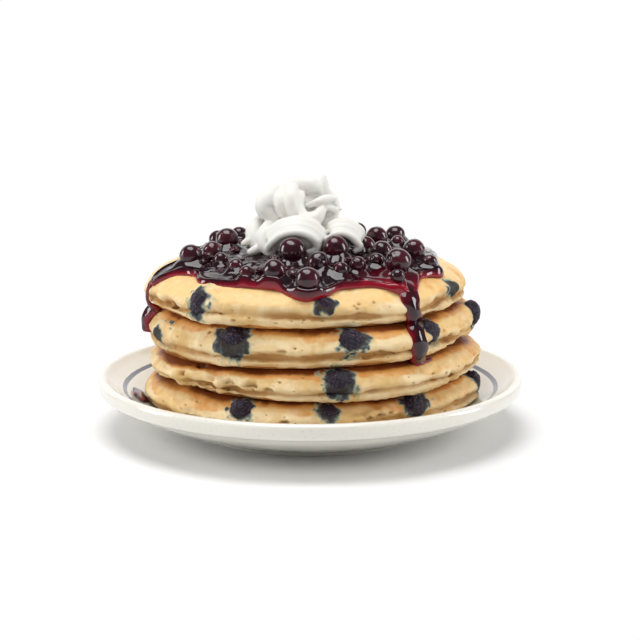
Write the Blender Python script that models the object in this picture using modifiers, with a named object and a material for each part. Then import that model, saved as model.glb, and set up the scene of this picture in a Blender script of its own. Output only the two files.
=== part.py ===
"""Four blueberry pancakes under blueberry compote and whipped cream, on their plate.

Run it with: blender --background --python part.py
Lengths are metres and +Z is up. The origin is the centre of the plate's foot, on the table,
and the front of the plate is towards -Y. Azimuths are degrees from +X, anticlockwise from above.
"""

import math
import random
from typing import NamedTuple

import bmesh
import bpy
from mathutils import Vector

MM = 0.001
GAP = 0.3 * MM

# The plate, a turned piece of thick glazed china with a rolled lip and a low foot.
PLATE_RADIUS = 105 * MM
PLATE_HEIGHT = 28 * MM
PLATE_STEPS = 40
WELL_RADIUS = 58 * MM
WELL_TOP = 7.5 * MM
RIM_START = 70 * MM
RIM_START_HEIGHT = 12 * MM
LIP_ROUND = 2.4 * MM
LIP_DEPTH = 7.6 * MM
FOOT_OUTER = 57.5 * MM
FOOT_INNER = 53 * MM
FOOT_RECESS = 3.2 * MM

# The stack. A pancake is a sphere's grid mapped to two faces and a rounded side between them.
PANCAKE_SEGMENTS = 28
PANCAKE_RINGS = 10
FACE_POLAR = 36.0
CREASE_HALF_WIDTH = 35.0
CONTACT_REACH = 79 * MM
CONTACT_GAP = 0.25 * MM

# The compote that covers the top pancake.
POOL_SEGMENTS = 36
POOL_RINGS = 8
POOL_RADIUS = 68 * MM
POOL_THICKNESS = 4.4 * MM
POOL_RIM_THICKNESS = 1.9 * MM
POOL_HEAP_RADIUS = 64 * MM
POOL_SINK = 0.6 * MM
DRIP_RADIUS = 2.6 * MM

# The whipped cream, two fluted tiers.
CREAM_CENTRE = (-5.0 * MM, -4.0 * MM)
CREAM_HEIGHT = 34.5 * MM
CREAM_LEAN = (5.0 * MM, 2.0 * MM)
CREAM_FLUTES = 7
CREAM_FLUTE_DEPTH = 0.24
CREAM_TWIST = 80.0
CREAM_SEGMENTS = 35
CREAM_RINGS = 11

BERRY_SUBDIVISIONS = 2
BERRY_FLATNESS = 0.94
SCATTER_SEED = 7
SCATTERED_BERRIES = 5


class Pancake(NamedTuple):
    """One pancake: how far its top and bottom edges round in, and where its crease lies up its side."""

    centre: tuple
    radius: float
    shoulder: float
    heel: float
    crease: float
    waist: float
    waves: tuple


class Contact(NamedTuple):
    """A face between two pancakes: its height in the middle, and round its rim by direction."""

    middle: float
    rim: float
    right: float
    back: float
    saddle: float
    skew: float


class BakedBerry(NamedTuple):
    """A berry in a pancake's side: which pancake, where, how big, and how deep its centre lies."""

    level: int
    azimuth: float
    height: float
    half_width: float
    half_height: float
    sink: float


class Topping(NamedTuple):
    """A berry on top: where it lies, its radius, and how deep it sits in the compote."""

    x: float
    y: float
    radius: float
    sunk: float


# From the bottom up. A wave is (share of the radius, lobes round the edge, phase in degrees).
PANCAKES = (
    Pancake((0.5 * MM, 0), 81.5 * MM, 13 * MM, 11 * MM, 1.5 * MM, 0.50, ((0.010, 2, 20), (0.008, 5, 130), (0.006, 7, 40))),
    Pancake((2.5 * MM, 0), 81.5 * MM, 12 * MM, 6 * MM, 2.0 * MM, 0.45, ((0.012, 3, 200), (0.008, 5, 10), (0.006, 8, 90))),
    Pancake((0.5 * MM, 0), 80.2 * MM, 12 * MM, 6 * MM, 1.9 * MM, 0.48, ((0.010, 2, 80), (0.009, 4, 250), (0.005, 7, 0))),
    Pancake((-2.5 * MM, 0), 79.0 * MM, 20 * MM, 5 * MM, 1.5 * MM, 0.34, ((0.008, 3, 60), (0.007, 4, 150), (0.005, 6, 300))),
)

# Below each pancake from the second up, and last the top pancake's own crown.
CONTACTS = (
    Contact(29.0 * MM, 31.0 * MM, 0.5 * MM, -0.2 * MM, 0.0, 0.0),
    Contact(44.5 * MM, 45.0 * MM, 2.8 * MM, -0.8 * MM, -0.7 * MM, 0.0),
    Contact(64.8 * MM, 65.2 * MM, 0.3 * MM, 0.3 * MM, 0.4 * MM, 0.0),
    Contact(86.5 * MM, 82.6 * MM, 0.5 * MM, 0.2 * MM, 0.0, 0.0),
)
CROWN = len(CONTACTS)

BAKED_BERRIES = (
    BakedBerry(3, -128, 74.0 * MM, 5.6 * MM, 6.4 * MM, 3.6 * MM),
    BakedBerry(3, -83, 75.5 * MM, 5.4 * MM, 4.4 * MM, 4.0 * MM),
    BakedBerry(3, 130, 74.0 * MM, 6.0 * MM, 5.2 * MM, 3.8 * MM),
    BakedBerry(2, -118, 57.2 * MM, 8.8 * MM, 6.8 * MM, 4.2 * MM),
    BakedBerry(2, -76, 59.0 * MM, 6.2 * MM, 5.4 * MM, 3.8 * MM),
    BakedBerry(2, -45, 59.6 * MM, 5.0 * MM, 5.2 * MM, 3.8 * MM),
    BakedBerry(2, -6, 59.0 * MM, 6.0 * MM, 6.0 * MM, 1.8 * MM),
    BakedBerry(2, 96, 56.0 * MM, 7.0 * MM, 6.0 * MM, 4.0 * MM),
    BakedBerry(1, -82, 40.6 * MM, 7.4 * MM, 5.6 * MM, 4.0 * MM),
    BakedBerry(1, 52, 40.4 * MM, 6.2 * MM, 5.4 * MM, 3.8 * MM),
    BakedBerry(0, -114, 26.0 * MM, 6.4 * MM, 5.0 * MM, 3.6 * MM),
    BakedBerry(0, -84, 25.4 * MM, 5.0 * MM, 4.4 * MM, 3.4 * MM),
    BakedBerry(0, -52, 25.8 * MM, 7.2 * MM, 5.0 * MM, 3.8 * MM),
    BakedBerry(0, -10, 25.6 * MM, 6.0 * MM, 5.4 * MM, 3.2 * MM),
    BakedBerry(0, 104, 25.4 * MM, 6.6 * MM, 5.0 * MM, 3.6 * MM),
)

# The berries that lie in front and beside the cream. Those behind it are scattered.
TOPPINGS = (
    Topping(-41.0 * MM, 4.0 * MM, 5.7 * MM, 0.8 * MM),
    Topping(-57.0 * MM, -25.0 * MM, 5.6 * MM, 0.8 * MM),
    Topping(-47.0 * MM, -18.5 * MM, 4.9 * MM, 1.0 * MM),
    Topping(-8.3 * MM, -36.0 * MM, 6.8 * MM, 1.5 * MM),
    Topping(12.2 * MM, -29.0 * MM, 6.4 * MM, 1.6 * MM),
    Topping(4.0 * MM, -52.0 * MM, 5.4 * MM, 1.2 * MM),
    Topping(-0.8 * MM, -71.5 * MM, 5.8 * MM, 0.8 * MM),
    Topping(-16.0 * MM, -62.5 * MM, 5.5 * MM, 1.1 * MM),
    Topping(-29.0 * MM, -58.5 * MM, 3.7 * MM, 1.1 * MM),
    Topping(33.0 * MM, 9.0 * MM, 5.3 * MM, 0.8 * MM),
    Topping(27.0 * MM, -10.0 * MM, 4.7 * MM, 1.8 * MM),
    Topping(34.3 * MM, -24.0 * MM, 5.1 * MM, 1.5 * MM),
    Topping(41.3 * MM, -45.5 * MM, 6.1 * MM, 0.8 * MM),
    Topping(50.0 * MM, -18.5 * MM, 5.5 * MM, 1.0 * MM),
    Topping(43.5 * MM, 13.5 * MM, 3.5 * MM, 1.5 * MM),
    Topping(31.5 * MM, -37.5 * MM, 3.6 * MM, 1.3 * MM),
    Topping(14.5 * MM, -56.0 * MM, 3.8 * MM, 1.3 * MM),
    Topping(22.5 * MM, -48.5 * MM, 4.0 * MM, 1.4 * MM),
    Topping(40.6 * MM, -57.0 * MM, 3.5 * MM, 1.0 * MM),
    Topping(-42.3 * MM, -32.0 * MM, 3.6 * MM, 1.2 * MM),
    Topping(-34.6 * MM, -46.0 * MM, 3.6 * MM, 1.2 * MM),
    Topping(24.0 * MM, 36.0 * MM, 4.6 * MM, 0.8 * MM),
    Topping(57.0 * MM, -30.0 * MM, 3.6 * MM, 0.9 * MM),
)

# How far the compote's edge stands out of a circle: (extra reach, azimuth, half width in degrees).
POOL_LOBES = (
    (8 * MM, -90, 9),
    (3 * MM, -117, 20),
    (8 * MM, -57, 7),
    (3.5 * MM, -133, 7),
    (9 * MM, 194, 9),
    (7 * MM, -24, 6),
    (3 * MM, 40, 16),
    (-4 * MM, 78, 14),
    (3 * MM, 112, 12),
    (-3 * MM, 150, 12),
)


class Station(NamedTuple):
    """A place on a drip: beside which pancake, at which turn of its side, how thick, and its azimuth."""

    level: int
    turn: float
    share: float
    azimuth: float


DRIPS = (
    (
        Station(3, 75, 1.1, -57),
        Station(3, 40, 1.4, -57),
        Station(3, 5, 1.3, -56),
        Station(3, -40, 1.0, -54),
        Station(2, 40, 1.2, -53),
        Station(2, 0, 1.4, -52),
        Station(2, -40, 1.0, -52),
        Station(1, 50, 1.3, -51),
    ),
    (
        Station(3, 70, 1.1, 196),
        Station(3, 35, 1.0, 195),
        Station(3, 0, 0.8, 194),
        Station(3, -40, 0.6, 193),
        Station(2, 40, 1.0, 192),
        Station(2, 5, 1.2, 192),
        Station(2, -25, 0.8, 192),
    ),
)

# The cream's radius up its height: (share of the height, radius).
CREAM_PROFILE = (
    (0.0, 25.5 * MM),
    (0.10, 28.5 * MM),
    (0.22, 29 * MM),
    (0.34, 24 * MM),
    (0.43, 19 * MM),
    (0.56, 21.5 * MM),
    (0.70, 20.5 * MM),
    (0.84, 15 * MM),
    (0.94, 8 * MM),
    (1.0, 2 * MM),
)

COLOURS = {
    "china": ((0.83, 0.80, 0.73, 1), 0.12),
    "pancake": ((0.86, 0.62, 0.30, 1), 0.65),
    "compote": ((0.16, 0.01, 0.03, 1), 0.08),
    "berry": ((0.06, 0.008, 0.02, 1), 0.12),
    "baked_berry": ((0.03, 0.03, 0.07, 1), 0.5),
    "cream": ((0.93, 0.92, 0.89, 1), 0.4),
}


def clear_scene():
    for obj in list(bpy.data.objects):
        bpy.data.objects.remove(obj, do_unlink=True)


def new_collection(name):
    collection = bpy.data.collections.new(name)
    bpy.context.scene.collection.children.link(collection)
    return collection


def make_materials():
    made = {}
    for name, (colour, roughness) in COLOURS.items():
        material = bpy.data.materials.new(name)
        material.use_nodes = True
        shader = material.node_tree.nodes["Principled BSDF"]
        shader.inputs["Base Color"].default_value = colour
        shader.inputs["Roughness"].default_value = roughness
        shader.inputs["Metallic"].default_value = 0.0
        made[name] = material
    return made


def polar(radius, azimuth):
    """The point at this radius and azimuth in degrees."""
    angle = math.radians(azimuth)
    return radius * math.cos(angle), radius * math.sin(angle)


def azimuth_of(x, y):
    return math.degrees(math.atan2(y, x))


def bell(azimuth, centre, half_width):
    """A smooth bump of height 1 round one azimuth."""
    away = (azimuth - centre + 180) % 360 - 180
    return math.exp(-((away / half_width) ** 2))


def along(points, t):
    """The second column of these points at t, by straight lines between them."""
    for (t0, v0), (t1, v1) in zip(points, points[1:]):
        if t <= t1:
            return v0 + (v1 - v0) * max(0.0, t - t0) / (t1 - t0)
    return points[-1][1]


def plate_top(radius):
    """The height of the plate's upper face at this radius."""
    rim_edge = (PLATE_RADIUS - LIP_ROUND, PLATE_HEIGHT - 0.6 * MM)
    return along(((0.0, WELL_TOP), (WELL_RADIUS, WELL_TOP), (RIM_START, RIM_START_HEIGHT), rim_edge), radius)


def plate_profile():
    """The plate's section from the middle of its well, out over the lip and back under the foot."""
    lip_centre = Vector((PLATE_RADIUS - LIP_ROUND, PLATE_HEIGHT - LIP_ROUND))
    upper = [(0, WELL_TOP), (WELL_RADIUS, WELL_TOP), (RIM_START, RIM_START_HEIGHT)]
    lip = []
    for degrees in (115, 75, 35, -5):
        x, y = polar(LIP_ROUND, degrees)
        lip.append((lip_centre.x + x, lip_centre.y + y))
    lip_bottom = PLATE_HEIGHT - LIP_DEPTH
    under = [
        (PLATE_RADIUS - 3.8 * MM, lip_bottom),
        (FOOT_OUTER + 16 * MM, 6.6 * MM),
        (FOOT_OUTER + 4 * MM, 3.4 * MM),
        (FOOT_OUTER, 0),
        (FOOT_INNER, 0),
        (FOOT_INNER - 1.5 * MM, FOOT_RECESS),
        (0, FOOT_RECESS),
    ]
    return upper + lip + under


def outline(cake, azimuth):
    """A pancake's radius at this azimuth, measured from its own centre."""
    waves = sum(share * math.cos(math.radians(lobes * azimuth + phase)) for share, lobes, phase in cake.waves)
    return cake.radius * (1 + waves)


def contact(level, x, y):
    """The height of the face under pancake `level`, or of the top pancake's crown at CROWN."""
    radius = math.hypot(x, y)
    if level == 0:
        return plate_top(radius) + GAP
    face = CONTACTS[level - 1]
    angle = math.atan2(y, x)
    rim = (
        face.rim
        + face.right * math.cos(angle)
        + face.back * math.sin(angle)
        + face.saddle * math.cos(2 * angle)
        + face.skew * math.sin(2 * angle)
    )
    return face.middle + (rim - face.middle) * (radius / CONTACT_REACH) ** 2


def face_point(level, azimuth, radius, top):
    """A point on a pancake's upper or lower face."""
    cake = PANCAKES[level]
    x, y = polar(radius, azimuth)
    x, y = x + cake.centre[0], y + cake.centre[1]
    height = contact(level + 1, x, y) - CONTACT_GAP if top else contact(level, x, y) + CONTACT_GAP
    return Vector((x, y, height))


def side_point(level, azimuth, turn, proud=0.0):
    """A point on a pancake's side. turn is 90 at the upper face, 0 half way down and -90 at the lower face."""
    cake = PANCAKES[level]
    edge = outline(cake, azimuth)
    upper = face_point(level, azimuth, edge - cake.shoulder, True).z
    lower = face_point(level, azimuth, edge - cake.heel, False).z
    depth = cake.shoulder if turn > 0 else cake.heel
    inset = depth * (1 - math.cos(math.radians(turn)))
    inset += cake.crease * max(0.0, 1 - abs(turn) / CREASE_HALF_WIDTH)
    x, y = polar(edge - inset + proud, azimuth)
    x, y = x + cake.centre[0], y + cake.centre[1]
    rise = math.sin(math.radians(turn))
    height = lower + (upper - lower) * (cake.waist + rise * (1 - cake.waist if turn > 0 else cake.waist))
    if level == 0:
        height = max(height, plate_top(math.hypot(x, y)) + GAP + CONTACT_GAP)
    return Vector((x, y, height))


def crown_height(x, y):
    """The height of the top pancake under a point, on its crown or its rounded shoulder."""
    level = CROWN - 1
    cake = PANCAKES[level]
    dx, dy = x - cake.centre[0], y - cake.centre[1]
    azimuth = azimuth_of(dx, dy)
    inset = outline(cake, azimuth) - math.hypot(dx, dy)
    if inset >= cake.shoulder:
        return contact(CROWN, x, y)
    turn = math.degrees(math.acos(max(0.0, min(1.0, 1 - inset / cake.shoulder))))
    return side_point(level, azimuth, turn).z


def add_object(name, mesh, collection, material=None):
    obj = bpy.data.objects.new(name, mesh)
    collection.objects.link(obj)
    if material:
        mesh.materials.append(material)
    return obj


def shaped_sphere(name, segments, rings, place):
    """A mesh made from a UV sphere by carrying each point, by azimuth and polar angle, to place()."""
    mesh = bpy.data.meshes.new(name)
    shape = bmesh.new()
    bmesh.ops.create_uvsphere(shape, u_segments=segments, v_segments=rings, radius=1.0)
    for vert in shape.verts:
        down = math.degrees(math.acos(max(-1.0, min(1.0, vert.co.z))))
        vert.co = place(azimuth_of(vert.co.x, vert.co.y), down)
    bmesh.ops.recalc_face_normals(shape, faces=shape.faces)
    shape.to_mesh(mesh)
    shape.free()
    mesh.shade_smooth()
    return mesh


def pancake_mesh(level):
    cake = PANCAKES[level]

    def place(azimuth, down):
        edge = outline(cake, azimuth)
        if down <= FACE_POLAR:
            return face_point(level, azimuth, (edge - cake.shoulder) * down / FACE_POLAR, True)
        if down >= 180 - FACE_POLAR:
            return face_point(level, azimuth, (edge - cake.heel) * (180 - down) / FACE_POLAR, False)
        return side_point(level, azimuth, 90 - (down - FACE_POLAR) * 180 / (180 - 2 * FACE_POLAR))

    return shaped_sphere(f"pancake_{level + 1}", PANCAKE_SEGMENTS, PANCAKE_RINGS, place)


def pool_radius(azimuth):
    return POOL_RADIUS + sum(reach * bell(azimuth, centre, width) for reach, centre, width in POOL_LOBES)


def pool_top(x, y, edge_rounding=1.0):
    """The height of the compote's upper side, which is heaped towards the middle."""
    heap = max(0.0, 1 - (math.hypot(x, y) / POOL_HEAP_RADIUS) ** 2)
    thickness = POOL_RIM_THICKNESS + (POOL_THICKNESS - POOL_RIM_THICKNESS) * heap
    return crown_height(x, y) - POOL_SINK + (POOL_SINK + GAP + thickness) * edge_rounding


def pool_mesh():
    """The compote without its drips: a lens that follows the crown, with a rounded edge."""

    def place(azimuth, down):
        x, y = polar(pool_radius(azimuth) * math.sin(math.radians(down)) ** 0.8, azimuth)
        if down > 90:
            return Vector((x, y, crown_height(x, y) - POOL_SINK))
        return Vector((x, y, pool_top(x, y, max(0.0, math.cos(math.radians(down))) ** 0.5)))

    return shaped_sphere("compote", POOL_SEGMENTS, POOL_RINGS, place)


def cream_mesh():
    """Two fluted tiers on the compote: the radius follows CREAM_PROFILE, and the flutes turn as they climb."""

    def place(azimuth, down):
        share = (1 + math.cos(math.radians(down))) / 2
        radius = along(CREAM_PROFILE, share) * min(1.0, math.sin(math.radians(down)) * 2.2)
        flute = abs(math.cos(math.radians(CREAM_FLUTES * (azimuth + CREAM_TWIST * share) / 2)))
        x, y = polar(radius * (1 + CREAM_FLUTE_DEPTH * (flute - 0.6)), azimuth)
        x += CREAM_CENTRE[0] + CREAM_LEAN[0] * share**2
        y += CREAM_CENTRE[1] + CREAM_LEAN[1] * share**2
        return Vector((x, y, pool_top(x, y) + GAP + CREAM_HEIGHT * share))

    return shaped_sphere("whipped_cream", CREAM_SEGMENTS, CREAM_RINGS, place)


def berry_mesh(name, half_sizes, azimuth, centre, extra=0.0):
    """A berry: an icosphere stretched to its half sizes (out, across, up) and turned to its azimuth."""
    mesh = bpy.data.meshes.new(name)
    shape = bmesh.new()
    bmesh.ops.create_icosphere(shape, subdivisions=BERRY_SUBDIVISIONS, radius=1.0)
    angle = math.radians(azimuth)
    outward = Vector((math.cos(angle), math.sin(angle), 0))
    across = Vector((-math.sin(angle), math.cos(angle), 0))
    for vert in shape.verts:
        out, side, up = (part * (half + extra) for part, half in zip(vert.co, half_sizes))
        vert.co = Vector(centre) + outward * out + across * side + Vector((0, 0, up))
    shape.to_mesh(mesh)
    shape.free()
    mesh.shade_smooth()
    return mesh


def scattered_toppings():
    """More berries behind the cream, each tried at random until it clears the others."""
    dice = random.Random(SCATTER_SEED)
    found = list(TOPPINGS)
    while len(found) < len(TOPPINGS) + SCATTERED_BERRIES:
        radius = dice.uniform(4.4, 6.4) * MM
        x, y = polar(dice.uniform(36, 58) * MM, dice.uniform(35, 165))
        clear = all(math.hypot(x - o.x, y - o.y) > radius + o.radius + 1.2 * MM for o in found)
        if clear:
            found.append(Topping(x, y, radius, dice.uniform(0.9, 2.0) * MM))
    return found


def topping_centre(berry):
    """Where a topping's middle lies: its underside is sunk below the compote's upper side."""
    return Vector((berry.x, berry.y, pool_top(berry.x, berry.y) - berry.sunk + berry.radius * BERRY_FLATNESS))


def baked_centre(berry):
    cake = PANCAKES[berry.level]
    x, y = polar(outline(cake, berry.azimuth) - berry.sink, berry.azimuth)
    return Vector((x + cake.centre[0], y + cake.centre[1], berry.height))


def drip_object(index, stations, collection):
    """A drip as a tapered tube down the side of the stack, made a mesh with welded caps."""
    curve = bpy.data.curves.new(f"drip_{index}", "CURVE")
    curve.dimensions = "3D"
    curve.bevel_depth = DRIP_RADIUS
    curve.bevel_resolution = 1
    curve.use_fill_caps = True
    spline = curve.splines.new("POLY")
    spline.points.add(len(stations) - 1)
    for point, station in zip(spline.points, stations):
        place = side_point(station.level, station.azimuth, station.turn, proud=DRIP_RADIUS * 0.35)
        point.co = (*place, 1)
        point.radius = station.share
    tube = bpy.data.objects.new(curve.name, curve)
    collection.objects.link(tube)
    bpy.context.view_layer.update()
    graph = bpy.context.evaluated_depsgraph_get()
    mesh = bpy.data.meshes.new_from_object(tube.evaluated_get(graph))
    shape = bmesh.new()
    shape.from_mesh(mesh)
    bmesh.ops.remove_doubles(shape, verts=shape.verts, dist=0.01 * MM)
    bmesh.ops.recalc_face_normals(shape, faces=shape.faces)
    shape.to_mesh(mesh)
    shape.free()
    drip = add_object(f"drip_tube_{index}", mesh, collection)
    drip.matrix_world = tube.matrix_world
    bpy.data.objects.remove(tube)
    hide_helper(drip)
    return drip


def hide_helper(obj):
    obj.hide_render = True
    obj.display_type = "WIRE"


def fattened(obj, collection, by=GAP):
    """A hidden copy of a solid, grown along its normals, that cuts a neighbour with a gap."""
    mesh = obj.data.copy()
    shape = bmesh.new()
    shape.from_mesh(mesh)
    shape.normal_update()
    for vert, normal in [(v, v.normal.copy()) for v in shape.verts]:
        vert.co += normal * by
    shape.to_mesh(mesh)
    shape.free()
    cutter = add_object(f"cut_{obj.name}", mesh, collection)
    hide_helper(cutter)
    return cutter


def boolean(obj, operation, other):
    """Joins or cuts obj by another object, or by every object of a collection."""
    modifier = obj.modifiers.new(operation.lower(), "BOOLEAN")
    modifier.operation = operation
    modifier.solver = "EXACT"
    if isinstance(other, bpy.types.Collection):
        modifier.operand_type = "COLLECTION"
        modifier.collection = other
    else:
        modifier.object = other
    return modifier


def build_plate(parts, material):
    mesh = bpy.data.meshes.new("plate")
    profile = plate_profile()
    mesh.from_pydata([(x, 0, z) for x, z in profile], [(i, i + 1) for i in range(len(profile) - 1)], [])
    plate = add_object("plate", mesh, parts, material)
    turn = plate.modifiers.new("turn", "SCREW")
    turn.steps = PLATE_STEPS
    turn.render_steps = PLATE_STEPS
    turn.use_merge_vertices = True
    turn.merge_threshold = 0.01 * MM
    turn.use_smooth_shade = True
    return plate


def build_pancakes(parts, cutters, materials):
    """Each pancake, with a pocket for every berry baked into its side."""
    made = []
    for level in range(len(PANCAKES)):
        cake = add_object(f"pancake_{level + 1}", pancake_mesh(level), parts, materials["pancake"])
        pockets = bpy.data.collections.new(f"pockets_{level + 1}")
        cutters.children.link(pockets)
        for index, berry in enumerate(BAKED_BERRIES, 1):
            if berry.level != level:
                continue
            name = f"baked_berry_{index:02d}"
            half_sizes = (berry.half_height, berry.half_width, berry.half_height)
            centre = baked_centre(berry)
            fruit = berry_mesh(name, half_sizes, berry.azimuth, centre)
            add_object(name, fruit, parts, materials["baked_berry"])
            pocket = berry_mesh(f"pocket_{index:02d}", half_sizes, berry.azimuth, centre, extra=GAP)
            hide_helper(add_object(pocket.name, pocket, pockets))
        boolean(cake, "DIFFERENCE", pockets)
        made.append(cake)
    return made


def build_toppings(parts, cutters, material):
    """The loose berries on top, and a cutter for each in the collection returned."""
    sockets = bpy.data.collections.new("berry_sockets")
    cutters.children.link(sockets)
    for index, berry in enumerate(scattered_toppings(), 1):
        name = f"berry_{index:02d}"
        half_sizes = (berry.radius, berry.radius, berry.radius * BERRY_FLATNESS)
        turned = 40.0 * index
        centre = topping_centre(berry)
        add_object(name, berry_mesh(name, half_sizes, turned, centre), parts, material)
        socket = berry_mesh(f"socket_{index:02d}", half_sizes, turned, centre, extra=GAP)
        hide_helper(add_object(socket.name, socket, sockets))
    return sockets


def build_compote(parts, cutters, cakes, sockets, material):
    """The compote and its drips as one solid, clear of the pancakes below and the berries in it."""
    compote = add_object("compote", pool_mesh(), parts, material)
    for index, stations in enumerate(DRIPS, 1):
        boolean(compote, "UNION", drip_object(index, stations, cutters))
    for cake in cakes[1:]:
        boolean(compote, "DIFFERENCE", fattened(cake, cutters))
    boolean(compote, "DIFFERENCE", sockets)
    return compote


def build_cream(parts, sockets, material):
    cream = add_object("whipped_cream", cream_mesh(), parts, material)
    boolean(cream, "DIFFERENCE", sockets)
    return cream


def main():
    clear_scene()
    materials = make_materials()
    parts = new_collection("pancake_stack")
    cutters = new_collection("cutters")
    build_plate(parts, materials["china"])
    cakes = build_pancakes(parts, cutters, materials)
    sockets = build_toppings(parts, cutters, materials["berry"])
    build_compote(parts, cutters, cakes, sockets, materials["compote"])
    build_cream(parts, sockets, materials["cream"])


main()
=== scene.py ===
"""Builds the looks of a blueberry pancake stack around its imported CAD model, laid out as an add-on.

Lengths are metres in the CAD model's own frame: +Z up, the plate's foot at the origin, -Y the front.
Azimuths are degrees from +X, anticlockwise from above.
"""

import math

import bpy
import numpy as np
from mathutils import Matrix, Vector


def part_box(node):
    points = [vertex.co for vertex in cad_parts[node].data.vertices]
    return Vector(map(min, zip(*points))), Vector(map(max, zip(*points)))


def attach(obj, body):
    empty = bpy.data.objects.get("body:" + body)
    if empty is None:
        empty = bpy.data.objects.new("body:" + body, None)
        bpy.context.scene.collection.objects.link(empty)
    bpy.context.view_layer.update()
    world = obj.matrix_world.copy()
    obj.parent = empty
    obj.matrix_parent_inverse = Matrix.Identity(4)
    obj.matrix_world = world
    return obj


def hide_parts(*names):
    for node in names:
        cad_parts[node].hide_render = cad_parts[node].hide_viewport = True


bl_info = {
    "name": "Blueberry pancake stack",
    "version": (1, 0, 0),
    "blender": (4, 5, 0),
    "location": "3D View > Sidebar > Pancakes",
    "description": "Builds a stack of blueberry pancakes with compote and whipped cream on a plate",
    "category": "Object",
}

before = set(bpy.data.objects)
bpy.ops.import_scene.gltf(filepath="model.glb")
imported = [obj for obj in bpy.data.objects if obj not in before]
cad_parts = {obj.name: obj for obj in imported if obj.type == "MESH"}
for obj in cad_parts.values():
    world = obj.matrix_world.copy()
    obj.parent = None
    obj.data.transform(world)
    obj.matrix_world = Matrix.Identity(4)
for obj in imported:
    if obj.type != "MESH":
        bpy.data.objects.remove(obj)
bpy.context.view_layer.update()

MM = 0.001
GAP = 0.3 * MM

# The plate's section, as the CAD has it.
PLATE_RADIUS = 105 * MM
PLATE_HEIGHT = 28 * MM
WELL_RADIUS = 58 * MM
WELL_TOP = 7.5 * MM
RIM_START = 70 * MM
RIM_START_HEIGHT = 12 * MM
LIP_ROUND = 2.4 * MM

# The pancakes from the bottom up: centre x, radius, shoulder, heel, crease depth, waist share and
# outline waves (share, lobes, phase in degrees).
PANCAKES = (
    (0.5, 81.5, 13, 11, 1.5, 0.50, ((0.010, 2, 20), (0.008, 5, 130), (0.006, 7, 40))),
    (2.5, 81.5, 12, 6, 2.0, 0.45, ((0.012, 3, 200), (0.008, 5, 10), (0.006, 8, 90))),
    (0.5, 80.2, 12, 6, 1.9, 0.48, ((0.010, 2, 80), (0.009, 4, 250), (0.005, 7, 0))),
    (-2.5, 79.0, 20, 5, 1.5, 0.34, ((0.008, 3, 60), (0.007, 4, 150), (0.005, 6, 300))),
)
PANCAKES = tuple((*(value * MM for value in row[:5]), *row[5:]) for row in PANCAKES)
TOP = len(PANCAKES) - 1
CROWN = len(PANCAKES)
# The faces between them: height in the middle and at the rim, then the rim's tilts to the right
# and to the back, and its saddle.
CONTACTS = (
    (29.0 * MM, 31.0 * MM, 0.5 * MM, -0.2 * MM, 0.0),
    (44.5 * MM, 45.0 * MM, 2.8 * MM, -0.8 * MM, -0.7 * MM),
    (64.8 * MM, 65.2 * MM, 0.3 * MM, 0.3 * MM, 0.4 * MM),
    (86.5 * MM, 82.6 * MM, 0.5 * MM, 0.2 * MM, 0.0),
)
CONTACT_REACH = 79 * MM
CONTACT_GAP = 0.25 * MM

# The compote's edge: base radius, then (extra reach, azimuth, half width in degrees).
POOL_RADIUS = 68 * MM
POOL_LOBES = (
    (8 * MM, -90, 9),
    (3 * MM, -117, 20),
    (9 * MM, -51.5, 7.5),
    (3.5 * MM, -133, 7),
    (12 * MM, 200, 6.5),
    (-8 * MM, 172, 15),
    (2.5 * MM, -26, 7),
    (-6 * MM, 2, 20),
    (3 * MM, 40, 16),
    (-4 * MM, 78, 14),
    (3 * MM, 112, 12),
    (-3 * MM, 150, 12),
)
POOL_THICKNESS = 4.4 * MM
POOL_RIM_THICKNESS = 1.9 * MM
POOL_HEAP_RADIUS = 64 * MM

# The camera: its distance, its angle above the table, and the point it faces.
CAMERA_DISTANCE = 0.90
CAMERA_ELEVATION = 11.75
CAMERA_TARGET = (4.8 * MM, 0.0, 53.8 * MM)
CAMERA_LENS = 102.2


# ---------------------------------------------------------------- shapes


def bell(azimuth, centre, half_width):
    """A smooth bump of height 1 round one azimuth: e to the minus square of (degrees away / half width)."""
    away = (azimuth - centre + 180) % 360 - 180
    return np.exp(-((away / half_width) ** 2))


def smooth_step(low, high, value):
    """0 below low, 1 above high, and 3t^2 - 2t^3 between them."""
    t = np.clip((value - low) / (high - low), 0, 1)
    return t * t * (3 - 2 * t)


def lattice(ix, iy, iz, seed):
    """A fixed number from -1 to 1 for each whole-number point, by mixing its bits."""
    mixed = (ix * 73856093) ^ (iy * 19349663) ^ (iz * 83492791) ^ (seed * 374761393)
    mixed = ((mixed ^ (mixed >> 13)) * 1274126177) & 0x7FFFFFFF
    mixed = mixed ^ (mixed >> 16)
    return (mixed & 0xFFFFF) / float(0xFFFFF) * 2 - 1


def soft_noise(points, size, seed=0):
    """Smooth noise from -1 to 1 over `size` metres: lattice values blended by 6t^5 - 15t^4 + 10t^3."""
    scaled = np.asarray(points, float) / size
    whole = np.floor(scaled)
    part = scaled - whole
    blend = part**3 * (part * (part * 6 - 15) + 10)
    cell = whole.astype(np.int64)
    total = np.zeros(scaled.shape[:-1])
    for corner in range(8):
        step = np.array([corner & 1, corner >> 1 & 1, corner >> 2 & 1])
        weight = np.prod(np.where(step == 1, blend, 1 - blend), axis=-1)
        total += weight * lattice(*(cell[..., axis] + step[axis] for axis in range(3)), seed)
    return total


def layered_noise(points, size, seed=0, layers=3):
    """Soft noise plus finer layers, each half the size and half the height of the one before."""
    total = np.zeros(np.shape(points)[:-1])
    for layer in range(layers):
        total += soft_noise(points, size / 2**layer, seed + 17 * layer) / 2**layer
    return total


def grid_normals(points):
    """Outward unit normals of a grid that wraps round: the cross product of its two directions."""
    across = np.roll(points, -1, axis=1) - np.roll(points, 1, axis=1)
    down = np.gradient(points, axis=0)
    normal = np.cross(down, across)
    return normal / np.maximum(np.linalg.norm(normal, axis=-1, keepdims=True), 1e-12)


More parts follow.
